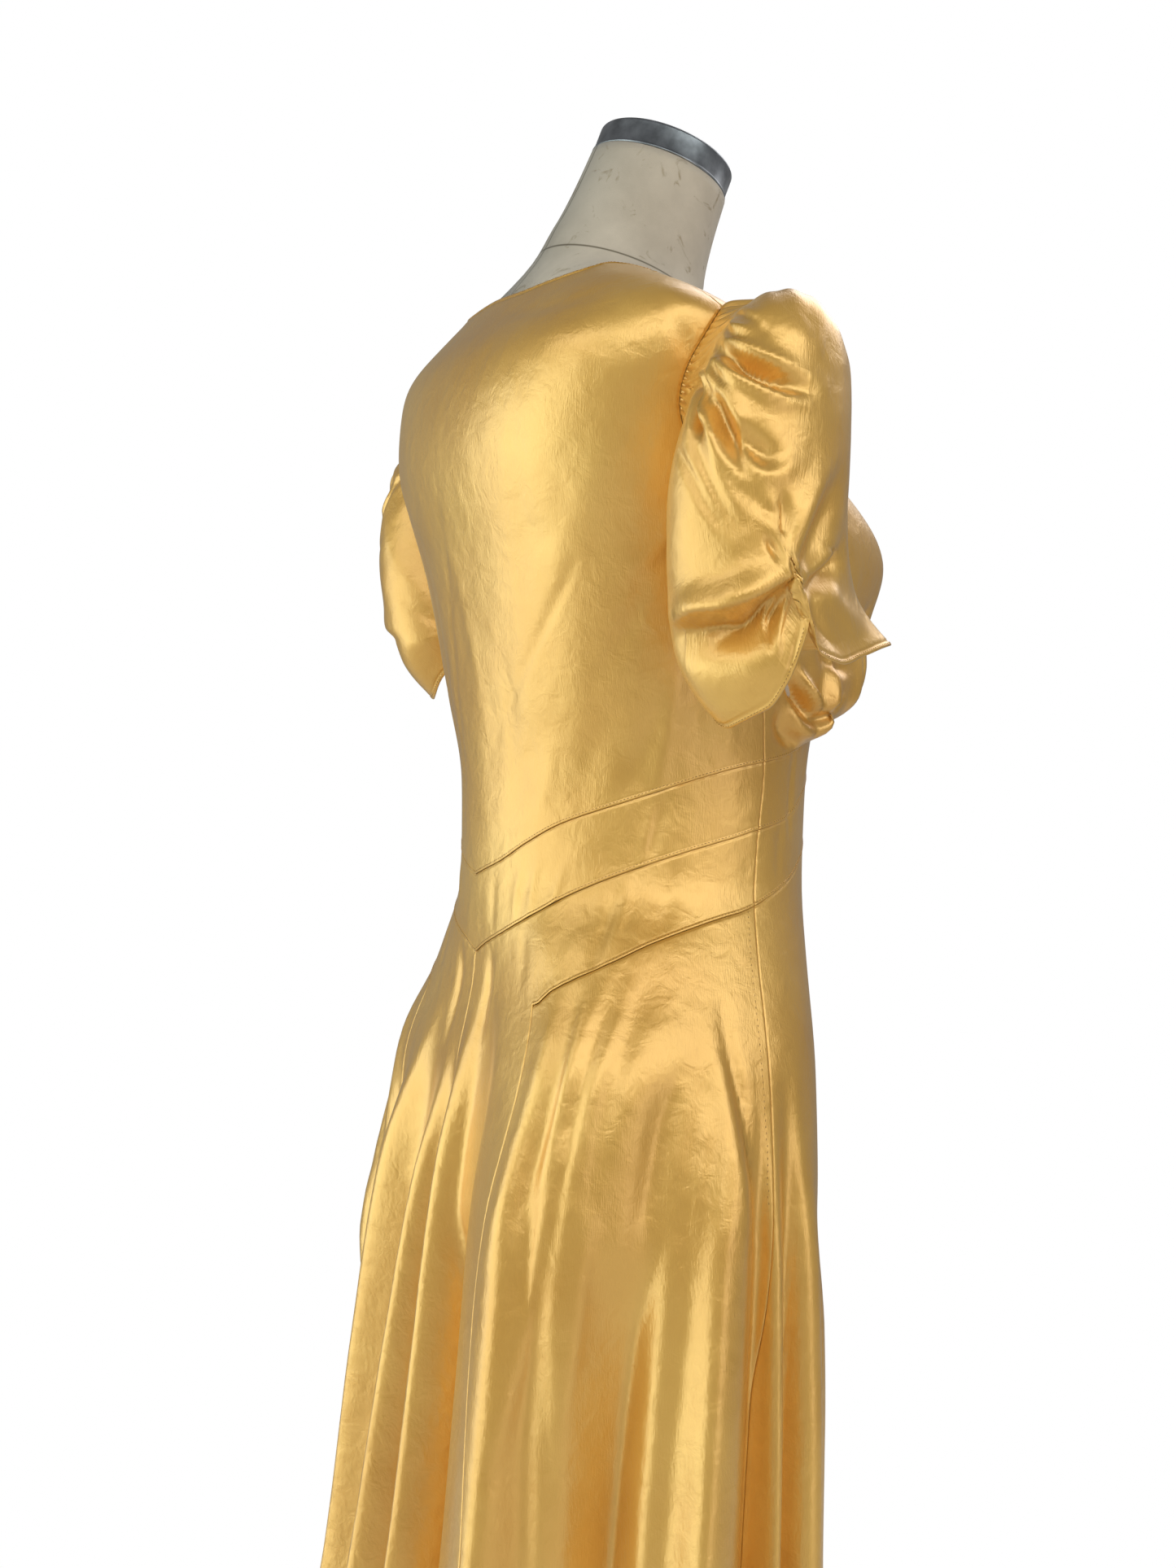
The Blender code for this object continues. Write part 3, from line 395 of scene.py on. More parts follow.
# Stand: a drawn steel tube screwed into the hub of a round cast-iron base. The tube is
# polished and the casting is enamelled black, thick enough to round its edges.
DRAW_LINE = 0.0015
tube, shader, where = new_material("drawn_steel_tube", Base_Color=colour("#B4B5B7"), Metallic=1.0)
stretch = add_node(tube, "ShaderNodeMapping", {"Vector": where}, Scale=(1.0, 1.0, 0.02)).outputs["Vector"]
lines = noise(tube, stretch, 1.0 / DRAW_LINE, Detail=2.0)
wire(tube, spread(tube, lines, To_Min=0.18, To_Max=0.34), shader, "Roughness")

PEEL = 0.004
enamel, shader, where = new_material("black_enamelled_iron", Base_Color=colour("#171718"), Roughness=0.32,
                                     Coat_Weight=0.4)
peel = noise(enamel, where, 1.0 / PEEL, Detail=2.0)
wire(enamel, bumped(enamel, peel, 0.0003, strength=0.3), shader, "Normal")

low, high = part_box("pole")
POLE_RADIUS = 0.5 * (high.x - low.x)
POLE_EDGE = 0.001
profile = [(0.0, low.z), (POLE_RADIUS - POLE_EDGE, low.z)]
profile += arc((POLE_RADIUS - POLE_EDGE, low.z + POLE_EDGE), POLE_EDGE, -90.0, 0.0, 3)
profile += arc((POLE_RADIUS - POLE_EDGE, high.z - POLE_EDGE), POLE_EDGE, 0.0, 90.0, 3) + [(0.0, high.z)]
pole = finished(turned("pole_tube", profile, 48), "pole_tube", tube)
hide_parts("pole")

low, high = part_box("base")
BASE_RADIUS = high.x
BASE_EDGE = 0.006
BASE_RIM = 0.014
HUB_RADIUS = 0.028
profile = [(0.0, 0.0), (BASE_RADIUS - 0.001, 0.0), (BASE_RADIUS, 0.001)]
profile += arc((BASE_RADIUS - BASE_EDGE, BASE_RIM - BASE_EDGE), BASE_EDGE, 0.0, 90.0, 8)
profile += [(0.5 * (BASE_RADIUS + 2.0 * HUB_RADIUS), BASE_RIM + 0.0030), (2.0 * HUB_RADIUS, BASE_RIM + 0.0060)]
profile += [(1.5 * HUB_RADIUS, BASE_RIM + 0.0092), (1.15 * HUB_RADIUS, BASE_RIM + 0.0130)]
profile += [(HUB_RADIUS, BASE_RIM + 0.0185)]
profile += arc((HUB_RADIUS - 0.004, high.z - 0.004), 0.004, 0.0, 90.0, 6) + [(0.0, high.z)]
base = finished(turned("base_casting", profile, 128), "base_casting", enamel, 60.0)
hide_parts("base")

# Back bodice: one plain piece of silk satin cut on the bias, from the waist seam to a shallow
# wide neckline and out to the armholes. Its neck edge is faced and stitched, and its lower edge
# is lapped over the band below and stitched down.

# Bias-cut silk satin of about 19 momme: its long floats give a broad soft gloss, paler than the
# warm gold ground. It has aged, so the gloss is slightly cloudy, crushed and streaked.
satin, shader, where = new_material("gold_silk_satin", Metallic=0.55, Specular_IOR_Level=0.5, Coat_Weight=1.0,
                                    Coat_Roughness=0.30, Coat_IOR=1.6)
cloud = noise(satin, where, 9.0, Detail=4.0, Roughness=0.55)
wire(satin, tones(satin, cloud, "#E0A644", "#EFBB5A", 0.30, 0.70), shader, "Base Color")
flat_cloth = add_node(satin, "ShaderNodeUVMap", uv_map="cloth").outputs["UV"]
# Floats of the weave, drawn coarser than the real 0.1 mm so that they show
FLOAT_LENGTH = 0.006
FLOAT_WIDTH = 0.0007
bias = add_node(satin, "ShaderNodeMapping", {"Vector": flat_cloth}, Rotation=(0.0, 0.0, math.radians(45.0)),
                Scale=(1.0 / FLOAT_WIDTH, 1.0 / FLOAT_LENGTH, 1.0)).outputs["Vector"]
floats = noise(satin, bias, 1.0, Detail=2.0)
wire(satin, spread(satin, floats, To_Min=0.33, To_Max=0.44), shader, "Roughness")
# Slack where the cloth hangs, its crush, and small sharp creases left by folding and handling
SLACK = 0.045
CRUSH = 0.012
CREASED = 0.05
slack = noise(satin, where, 1.0 / SLACK, Detail=2.0)
crushed = noise(satin, where, 1.0 / CRUSH, Detail=4.0, Roughness=0.55, Distortion=0.6)
handled = noise(satin, where, 1.0 / CREASED, noise_type="RIDGED_MULTIFRACTAL", Detail=3.0, Distortion=0.8)
normal = None
for height, depth in ((slack, 0.0020), (crushed, 0.0006), (handled, 0.0005), (floats, 0.00014)):
    normal = bumped(satin, height, depth, normal)
wire(satin, normal, shader, "Normal")
wire(satin, normal, shader, "Coat Normal")

SATIN_THICKNESS = 0.0006
# The cloth that one degree round the body takes up, on average
BODY_DEGREE = 0.0023
# Distances from a sewn edge at which a piece has extra rows
EDGE_STEPS = (0.0, 0.0004, 0.0009, 0.0014, 0.0019, 0.0025, 0.0032, 0.0045, 0.0065)
# How far from its line a seam shapes the cloth, and the puckers that its stitches draw up: their
# height, spacing, how far in they fade, and the lengths over which spacing and height vary
SEAM_REACH = 0.020
PUCKER = 0.00013
PUCKER_LENGTH = 0.0085
PUCKER_REACH = 0.0045
PUCKER_DRIFT = 0.017
PUCKER_SWELL = 0.031
# How a piece's face moves in and out beside each kind of edge: distance from it, shift
EDGE_FORMS = {
    "lapped": ((0.0, 0.0), (0.0005, 0.00030), (0.0013, 0.00030), (0.0020, -0.00008), (0.0027, 0.00005),
               (0.005, 0.0)),
    "under": ((0.0, -0.00055), (0.0007, -0.00040), (0.0018, -0.00005), (0.004, 0.0)),
    "pressed": ((0.0, -0.00045), (0.0005, -0.00018), (0.0012, 0.0), (0.004, 0.0)),
    "faced": ((0.0, 0.0), (0.0006, 0.0005), (0.0022, 0.0006), (0.0030, -0.0004), (0.0042, 0.0002),
              (0.008, 0.0)),
}

# The bodice seam, which rings the waist and is the same on both sides: angle, height
BODICE_SEAM = (
    (0.0, 1.0449), (14.5, 1.0540), (26.0, 1.0655), (37.5, 1.0765), (58.0, 1.0900),
    (79.0, 1.1035), (91.0, 1.1096), (102.5, 1.1130), (114.0, 1.1165), (140.0, 1.1330), (180.0, 1.1650),
)
# The side seam: height, angle; and the height at which the bodice seam crosses it
SIDE_SEAM = (
    (HEM_HEIGHT, 86.0), (0.300, 86.0), (0.600, 87.0), (0.746, 88.5), (0.810, 91.5), (0.860, 93.8),
    (0.907, 95.5), (0.949, 96.2), (1.029, 96.5), (1.054, 98.0), (1.114, 102.3), (1.257, 97.0),
)
BODICE_AT_SIDE = 1.1130
# Back neckline: angle, height
BACK_NECKLINE = (
    (0.0, 1.3840), (14.0, 1.3832), (28.0, 1.3862), (45.0, 1.3920), (58.5, 1.3984), (84.0, 1.4015),
)
# The armhole, an almond between the shoulder tip and the underarm
ARMHOLE_ANGLE = 97.0
ARMHOLE_HALF_WIDTH = 18.0
ARMHOLE_TOP = 1.370
ARMHOLE_FOOT = 1.257
ARMHOLE_ROUNDNESS = 0.9

# The row that parts the upper and lower halves sinks this far at centre back
BACK_DIP = 0.034

# Creases of the back: angle and height at three places, depth (out is positive), half width,
# and how much wider the crease is on its lower side
BACK_CREASES = (
    (48, 1.23, 39, 1.197, 10, 1.114, -0.001, 0.0034, 0.3),
    (2, 1.3, -8, 1.16, -13.5, 1.062, -0.0009, 0.003, 0),
    (75.5, 1.165, 69, 1.118, 66, 1.095, 0.0013, 0.005, 0),
    (70, 1.15, 63, 1.12, 58, 1.096, -0.001, 0.0065, 0),
    (82, 1.215, 80, 1.165, 79, 1.115, -0.0016, 0.007, 0),
    (90, 1.19, 89, 1.15, 88, 1.118, 0.0012, 0.005, 0),
    (30, 1.082, 33, 1.096, 36, 1.122, 0.0009, 0.006, 0),
    (44, 1.092, 50, 1.125, 60, 1.165, -0.0009, 0.009, 0),
    (20, 1.076, 24, 1.1, 30, 1.13, -0.0006, 0.006, 0),
    (-48, 1.23, -38, 1.195, -12, 1.112, -0.001, 0.0036, -0.3),
    (-60, 1.205, -66, 1.15, -73, 1.108, 0.0013, 0.008, 0),
    (-28, 1.085, -32, 1.102, -38, 1.13, 0.0009, 0.0065, 0),
    (-78, 1.205, -80, 1.16, -82, 1.12, -0.001, 0.007, 0),
    (14, 1.372, 30, 1.366, 52, 1.371, -0.0009, 0.006, 0),
    (70, 1.372, 80, 1.345, 84, 1.318, -0.001, 0.006, 0),
    (-70, 1.372, -80, 1.345, -84, 1.318, -0.001, 0.006, 0),
    (62, 1.3, 50, 1.25, 30, 1.19, 0.001, 0.011, 0),
    (30, 1.33, 34, 1.27, 30, 1.21, -0.0007, 0.01, 0),
    (-2, 1.25, 6, 1.19, 8, 1.12, 0.0008, 0.008, 0),
    (-24, 1.26, -18, 1.19, -20, 1.11, -0.0009, 0.007, 0),
    (18, 1.18, 22, 1.14, 20, 1.09, -0.0008, 0.006, 0),
    (66, 1.22, 62, 1.19, 50, 1.155, -0.001, 0.006, 0),
    (78, 1.26, 72, 1.235, 62, 1.22, 0.001, 0.005, 0),
    (-36, 1.32, -30, 1.29, -18, 1.262, 0.0008, 0.009, 0),
)


# Functions that say how far folds and gathers stand out, added by the pieces that have them
fullness = [lambda angle, height: 0.0 * angle]


def gown_point(angle, station):
    """A point of the gown's outer face, before its creases."""
    angle, station = np.broadcast_arrays(np.asarray(angle, float), np.asarray(station, float))
    points = with_bust(section_point(angle, station), angle, 1.0)
    height = height_at(station)
    out = sum(depth(angle, height) for depth in fullness)
    points[..., 0] -= out * np.sin(np.radians(angle))
    points[..., 1] += out * np.cos(np.radians(angle))
    return points


def length_along(points):
    """Distance along a run of points, from its start."""
    return np.concatenate(([0.0], np.cumsum(np.linalg.norm(np.diff(points, axis=0), axis=-1))))


def shares(length, steps, start=True, end=True):
    """Shares from 0 to 1 of a length, closer together at its sewn ends."""
    near = np.array(EDGE_STEPS) / length
    first = near if start else near[:1]
    last = 1.0 - (near[::-1] if end else near[:1])
    return np.concatenate((first[:-1], np.linspace(first[-1], last[0], steps + 1), last[1:]))


def seam_row(seam, angles):
    """Angle and station pairs along a seam that rings the body, also past 180 degrees."""
    around = np.abs((angles + 180.0) % 360.0 - 180.0)
    return np.column_stack((angles, station_of(read_table(seam, around)[0])))


def right_side(station):
    return read_table(SIDE_SEAM, height_at(station))[0]


def left_side(station):
    return -right_side(station)


def run_between(lower, upper, rise, seam_left=None, seam_right=None):
    """A block of points from a lower row to an upper row, its ends held on two seams."""
    share = np.asarray(rise)[:, None, None]
    block = lower[None] * (1.0 - share) + upper[None] * share
    across = (block[:, :, 0] - block[:, :1, 0]) / (block[:, -1:, 0] - block[:, :1, 0])
    left, right = block[:, :1, 0].copy(), block[:, -1:, 0].copy()
    if seam_left:
        left[:, 0] = seam_left(block[:, 0, 1])
    if seam_right:
        right[:, 0] = seam_right(block[:, -1, 1])
    block[:, :, 0] = left + (right - left) * across
    return block


def patch(lower, upper, left, right, across, rise):
    """A block of points that fills four edges: left and right run upwards."""
    u, v = across[None, :, None], rise[:, None, None]
    ruled = lower[None] * (1 - v) + upper[None] * v + left[:, None] * (1 - u) + right[:, None] * u
    corners = (lower[0] * (1 - u) + lower[-1] * u) * (1 - v) + (upper[0] * (1 - u) + upper[-1] * u) * v
    return ruled - corners


def spaced(run, at):
    """Points at shares of the real length of a run of angle and station pairs."""
    length = length_along(gown_point(run[:, 0], run[:, 1]))
    return np.column_stack([np.interp(np.asarray(at) * length[-1], length, run[:, i]) for i in range(2)])


def neckline_run(table):
    angles = np.linspace(table[0][0], table[-1][0], 400)
    return np.column_stack((angles, station_of(read_table(table, angles)[0])))


def shoulder_run():
    """The right shoulder seam from its tip to the neckline."""
    neck_angle, neck_height = BACK_NECKLINE[-1]
    return np.linspace((ARMHOLE_ANGLE, station_of(ARMHOLE_TOP)), (neck_angle, station_of(neck_height)), 60)


def armhole_edge(side, half, rise):
    """The armhole from underarm to shoulder tip: half is -1 at the back, 1 at the front."""
    rise = np.asarray(rise)
    angle = ARMHOLE_ANGLE + half * ARMHOLE_HALF_WIDTH * np.sin(math.pi * rise)**ARMHOLE_ROUNDNESS
    return np.column_stack((side * angle, station_of(ARMHOLE_FOOT + (ARMHOLE_TOP - ARMHOLE_FOOT) * rise)))


def mirrored(block):
    """The same block on the other side of the body, still running left to right."""
    other = block[:, ::-1].copy()
    other[..., 0] *= -1.0
    return other


# A crease is followed in this many steps and felt this many half widths away
CREASE_STEPS = 40
CREASE_REACH = 2.6


def crease_route(crease, face, level):
    """A crease's smooth route over a face, with how far along it each point is."""
    t = np.linspace(0.0, 1.0, CREASE_STEPS)
    places = np.array(crease[:6]).reshape(3, 2)
    places[:, 1] = level(places[:, 1])
    first, through, last = places
    bend = 2.0 * through - 0.5 * (first + last)
    run = np.outer((1 - t)**2, first) + np.outer(2 * t * (1 - t), bend) + np.outer(t**2, last)
    return face(run[:, 0], run[:, 1]), t


def creased(points, normals, creases, face, level):
    """Push points along their normals into soft troughs and ridges that fade at both ends."""
    shift = np.zeros(points.shape[:-1])
    for crease in creases:
        depth, half_width, lean = crease[6:]
        route, t = crease_route(crease, face, level)
        along = np.gradient(route, axis=0)
        reach = CREASE_REACH * half_width * (1.0 + abs(lean))
        near = np.all((points > route.min(axis=0) - reach) & (points < route.max(axis=0) + reach), axis=-1)
        gaps = np.linalg.norm(points[near][:, None] - route[None], axis=-1)
        best = gaps.argmin(axis=1)
        away = gaps[np.arange(len(best)), best]
        below = np.cross(along[best], normals[near])
        below /= np.linalg.norm(below, axis=-1, keepdims=True)
        side = ((points[near] - route[best]) * below).sum(axis=-1)
        width = half_width * (1.0 + lean * np.tanh(2.0 * side / half_width))
        fade = np.sin(math.pi * (0.06 + 0.88 * t[best]))**0.8
        shift[near] += depth * fade * np.exp(-(away / width)**2)
    return points + normals * shift[..., None]


def beside_seam(points, seam):
    """Distance of each point from a seam's line, and how far along the seam that is."""
    length = length_along(seam)
    fine = np.linspace(0.0, length[-1], int(length[-1] / 0.0005) + 2)
    line = np.column_stack([np.interp(fine, length, seam[:, i]) for i in range(3)])
    tree = KDTree(len(line))
    for i, spot in enumerate(line):
        tree.insert(spot, i)
    tree.balance()
    away, along = np.full(points.shape[:-1], SEAM_REACH), np.zeros(points.shape[:-1])
    least, most = line.min(axis=0) - SEAM_REACH, line.max(axis=0) + SEAM_REACH
    inside = np.all((points > least) & (points < most), axis=-1)
    for index in map(tuple, np.argwhere(inside)):
        point = points[index]
        _, i, gap = tree.find(point)
        if gap < SEAM_REACH:
            start, end = line[max(i - 1, 0)], line[min(i + 1, len(line) - 1)]
            step = end - start
            share = min(max((point - start).dot(step) / step.dot(step), 0.0), 1.0)
            away[index] = np.linalg.norm(point - start - share * step)
            along[index] = fine[i]
    return away, along


def sewn(points, normals, seams):
    """Shape a piece's face beside its edges: laps, pressed seams, and the stitching's puckers."""
    shift = np.zeros(points.shape[:-1])
    for kind, seam in seams:
        away, along = beside_seam(points, seam)
        shift += read_table(EDGE_FORMS[kind], np.minimum(away, EDGE_FORMS[kind][-1][0]))[0]
        wave = np.sin(2 * math.pi * along / PUCKER_LENGTH + 1.8 * np.sin(along / PUCKER_DRIFT))
        uneven = 0.55 + 0.45 * np.sin(along / PUCKER_SWELL + 1.0)
        shift += PUCKER * wave * uneven * np.exp(-away / PUCKER_REACH) * (away < SEAM_REACH)
    return points + normals * shift[..., None]


def cut_piece(name, blocks, seams, creases=(), face=gown_point, level=station_of, scale=(BODY_DEGREE, 1.0)):
    """One cut piece of satin: grids laid on a face, creased, sewn at the edges, then thickened."""
    bm = bmesh.new()
    for block in blocks:
        points = face(block[..., 0], block[..., 1])
        normals = face_normal(face, block[..., 0], block[..., 1])
        points = sewn(creased(points, normals, creases, face, level), normals, seams)
        grid = grid_mesh(name + "_grid", points, block * scale)
        bm.from_mesh(grid)
        bpy.data.meshes.remove(grid)
    bmesh.ops.remove_doubles(bm, verts=bm.verts[:], dist=0.00002)
    mesh = bpy.data.meshes.new(name)
    bm.to_mesh(mesh)
    bm.free()
    piece = place(mesh, satin)
    wall = piece.modifiers.new("thickness", "SOLIDIFY")
    wall.thickness = SATIN_THICKNESS
    wall.offset = -1.0
    return piece


# Silk sewing thread, a shade deeper than the cloth, each stitch pulled slightly into it
thread, shader, where = new_material("silk_thread", Roughness=0.5)
twist = noise(thread, where, 900.0, Detail=1.0)
wire(thread, tones(thread, twist, "#8E5F28", "#BC883F"), shader, "Base Color")
STITCH_PITCH = 0.0022
STITCH_LENGTH = 0.0015
STITCH_WIDTH = 0.00050
STITCH_HEIGHT = 0.00035


def stitched(name, piece, line, inset, pitch=STITCH_PITCH):
    """A row of stitches on a piece, a little way in from the edge that the line runs along."""
    bm = bmesh.new()
    bm.from_mesh(piece.data)
    tree = BVHTree.FromBMesh(bm)
    bm.free()
    bm = bmesh.new()
    bmesh.ops.create_uvsphere(bm, u_segments=6, v_segments=4, radius=0.5,
                              matrix=Matrix.Diagonal((STITCH_LENGTH, STITCH_WIDTH, STITCH_HEIGHT, 1.0)))
    mesh = bpy.data.meshes.new(name)
    bm.to_mesh(mesh)
    bm.clear()
    shape = np.array([vert.co for vert in mesh.vertices])
    length = length_along(line)
    at = (np.arange(int(length[-1] / pitch)) + 0.5) * pitch
    spots = np.column_stack([np.interp(at, length, line[:, i]) for i in range(3)])
    for spot, way in zip(spots, np.gradient(spots, axis=0)):
        spot, way = Vector(spot), Vector(way)
        sideways = tree.find_nearest(spot)[1].cross(way).normalized() * inset
        sides = (tree.find_nearest(spot + sideways), tree.find_nearest(spot - sideways))
        centre, up = min(sides, key=lambda hit: hit[3])[:2]
        way = (way - up * way.dot(up)).normalized()
        mesh.vertices.foreach_set("co", (shape @ np.array((way, up.cross(way), up)) + np.array(centre)).ravel())
        bm.from_mesh(mesh)
    bm.to_mesh(mesh)
    bm.free()
    place(mesh, thread)


across = shares(0.42, 150)
both = 2.0 * across - 1.0
seam = seam_row(BODICE_SEAM, both * right_side(station_of(BODICE_AT_SIDE)))
level = np.column_stack((ARMHOLE_ANGLE * both, station_of(ARMHOLE_FOOT - BACK_DIP * (1.0 - both**2))))
back_low = run_between(seam, level, shares(0.13, 60, end=False), left_side, right_side)
right_top = np.vstack((neckline_run(BACK_NECKLINE)[:-1], shoulder_run()[::-1]))
back_top = np.vstack((mirrored(right_top[None])[0][:-1], right_top))
rise = shares(0.15, 70, start=False)
back_high = patch(level, spaced(back_top, across), armhole_edge(-1, -1, rise), armhole_edge(1, -1, rise),
                  across, rise)


def edge_line(run):
    """A seam's line in space from its angle and station pairs."""
    return gown_point(run[:, 0], run[:, 1])


FLIP = (-1.0, 1.0, 1.0)
shoulder = edge_line(shoulder_run())
neck = neckline_run(BACK_NECKLINE)
back_seams = [
    ("lapped", edge_line(seam)),
    ("faced", edge_line(np.vstack((mirrored(neck[None])[0][:-1], neck)))),
    ("pressed", shoulder), ("pressed", shoulder * FLIP),
    ("under", edge_line(back_high[:, 0])), ("under", edge_line(back_high[:, -1])),
    ("pressed", edge_line(back_low[:, 0])), ("pressed", edge_line(back_low[:, -1])),
]
back = cut_piece("back_bodice_satin", [back_low, back_high], back_seams, BACK_CREASES)
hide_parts("back_bodice")
# How far in from its edge a row of stitches runs
LAP_STITCH = 0.0021
NECK_STITCH = 0.0030
stitched("back_waist_stitches", back, edge_line(seam), LAP_STITCH)
stitched("back_neck_stitches", back, back_seams[1][1], NECK_STITCH)

# Front bodices: two bias-cut halves with a seam at centre front. Each is gathered and bloused
# over the waist seam below the bust, and runs up to a plain V neck and the shoulder seam.

# Front neckline: angle, height
FRONT_NECKLINE = (
    (84.0, 1.4015), (108.0, 1.4000), (130.0, 1.3945), (150.0, 1.3850),
    (162.0, 1.3660), (170.0, 1.3380), (180.0, 1.2950),
)
# The row that parts the upper and lower halves sinks this far towards centre front
FRONT_DIP = 0.022
# Fullness above the bodice seam: the angles where it starts, is full and eases towards the
# centre, by what share it eases, how far out it stands, and the heights where it is fullest,
# starts to fall in and has gone
BLOUSE_FROM = 112.0
BLOUSE_FULL = 134.0
BLOUSE_EASES = 165.0
BLOUSE_EASE = 0.35
BLOUSE_OUT = 0.019
BLOUSE_RISE = 0.019
BLOUSE_FALLS = 0.030
BLOUSE_ENDS = 0.085
# Its gathers: degrees from one to the next, and depth
GATHER_SPACING = 9.92
GATHER_DEPTH = 0.0040
FRONT_CREASES = (
    (108, 1.122, 112, 1.145, 120, 1.175, -0.0012, 0.006, 0),
    (104, 1.15, 112, 1.165, 124, 1.19, -0.0014, 0.008, 0),
    (118, 1.24, 112, 1.275, 110, 1.31, 0.001, 0.009, 0),
    (114, 1.168, 119.5, 1.155, 125, 1.142, 0.008, 0.0036, 0),
    (111.5, 1.163, 116.5, 1.149, 122, 1.138, -0.008, 0.004, 0),
    (123, 1.139, 129, 1.142, 136, 1.152, -0.008, 0.0036, 0),
    (113, 1.15, 119, 1.133, 128, 1.134, 0.005, 0.005, 0),
    (108, 1.14, 113, 1.128, 120, 1.124, -0.004, 0.004, 0),
    (122, 1.18, 130, 1.172, 138, 1.172, -0.005, 0.005, 0),
    (146, 1.176, 146, 1.16, 146, 1.146, -0.006, 0.0046, 0),
    (153, 1.178, 152, 1.164, 151, 1.15, 0.004, 0.005, 0),
    (160, 1.182, 159, 1.17, 158, 1.156, -0.0055, 0.0045, 0),
    (169, 1.185, 168, 1.175, 168, 1.162, -0.004, 0.0045, 0),
    (160, 1.33, 150, 1.3, 140, 1.28, -0.0008, 0.009, 0),
    (142, 1.21, 141, 1.195, 140, 1.18, -0.003, 0.006, 0),
    (156, 1.212, 155, 1.198, 154, 1.182, -0.003, 0.006, 0),
    (128, 1.205, 129, 1.192, 131, 1.178, -0.003, 0.006, 0),
)


def blouse_depth(angle, height):
    """How far the fullness under the bust stands out above the bodice seam."""
    side = np.abs((angle + 180.0) % 360.0 - 180.0)
    above = np.clip(height - read_table(BODICE_SEAM, side)[0], 0.0, None)
    swell = above / BLOUSE_RISE * np.exp(1.0 - above / BLOUSE_RISE)
    full = ramp(side, BLOUSE_FROM, BLOUSE_FULL) * (1.0 - BLOUSE_EASE * ramp(side, BLOUSE_EASES, 180.0))
    uneven = 3.0 * np.sin(np.radians(angle) * 7.0) + 2.0 * np.sin(np.radians(angle) * 17.0)
    pleat = GATHER_DEPTH * np.cos(2.0 * math.pi * (side + uneven) / GATHER_SPACING)
    return swell * full * (BLOUSE_OUT * (1.0 - ramp(above, BLOUSE_FALLS, BLOUSE_ENDS)) + pleat)


fullness.append(blouse_depth)

side = float(right_side(station_of(BODICE_AT_SIDE)))
across = shares(0.24, 90)
seam = seam_row(BODICE_SEAM, side + (180.0 - side) * across)
level = ARMHOLE_ANGLE + (180.0 - ARMHOLE_ANGLE) * across
line = np.column_stack((level, station_of(ARMHOLE_FOOT - FRONT_DIP * np.sin(0.5 * math.pi * across))))
front_low = run_between(seam, line, shares(0.12, 46, end=False), right_side)
centre = np.linspace(line[-1], (180.0, station_of(FRONT_NECKLINE[-1][1])), 40)
front_edge = np.vstack((centre[:-1], neckline_run(FRONT_NECKLINE)[::-1]))
rise = shares(0.15, 54, start=False)
front_high = patch(line, spaced(shoulder_run(), across), armhole_edge(1, 1, rise), spaced(front_edge, rise),
                   across, rise)
front_seams = [
    ("lapped", edge_line(seam)), ("pressed", shoulder), ("under", edge_line(front_high[:, 0])),
    ("pressed", edge_line(front_low[:, 0])), ("pressed", edge_line(np.vstack((front_low[:, -1], centre)))),
    ("faced", edge_line(neckline_run(FRONT_NECKLINE))),
]
# A crease's numbers turned over to the other side of the body
OTHER_SIDE = np.array((-1, 1, -1, 1, -1, 1, 1, 1, -1))
# The left front's creases bend a little differently: round, up
LEFT_BEND = (-2.0, 0.004)
for node, sign in (("front_bodice_right", 1), ("front_bodice_left", -1)):
    blocks, seams, creases = [front_low, front_high], front_seams, np.array(FRONT_CREASES)
    if sign < 0:
        blocks = [mirrored(block) for block in blocks]
        seams = [(kind, line * FLIP) for kind, line in seams]
        creases *= OTHER_SIDE
        creases[:, 2:4] += LEFT_BEND
    front = cut_piece(node + "_satin", blocks, seams, creases)
    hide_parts(node)
    stitched(node + "_stitches", front, np.vstack((seams[0][1], seams[-1][1][::-1])), LAP_STITCH)

# Waist bands: two bands cut to a point at centre back and centre front. The upper one is laid
# over the lower, and at the back the lower one is cut in one with the centre panels of the skirt.

# The two seams below the bodice seam: angle, height; and the heights at which the side seam
# crosses them
BAND_SEAM = (
    (0.0, 0.9975), (5.0, 1.0035), (14.5, 1.0118), (30.5, 1.0260), (40.5, 1.0355), (59.5, 1.0505),
    (79.0, 1.0632), (96.5, 1.0720), (105.0, 1.0750), (118.5, 1.0807), (134.0, 1.0950), (180.0, 1.1270),
)
SKIRT_SEAM = (
    (0.0, 0.9722), (27.0, 0.9722), (34.0, 0.9810), (44.0, 0.9900), (54.5, 0.9986), (65.0, 1.0085),
    (82.0, 1.0210), (95.5, 1.0282), (105.5, 1.0345), (118.5, 1.0430), (134.0, 1.0560), (180.0, 1.0880),
)
SKIRT_AT_SIDE, BAND_AT_SIDE = 1.0285, 1.0720
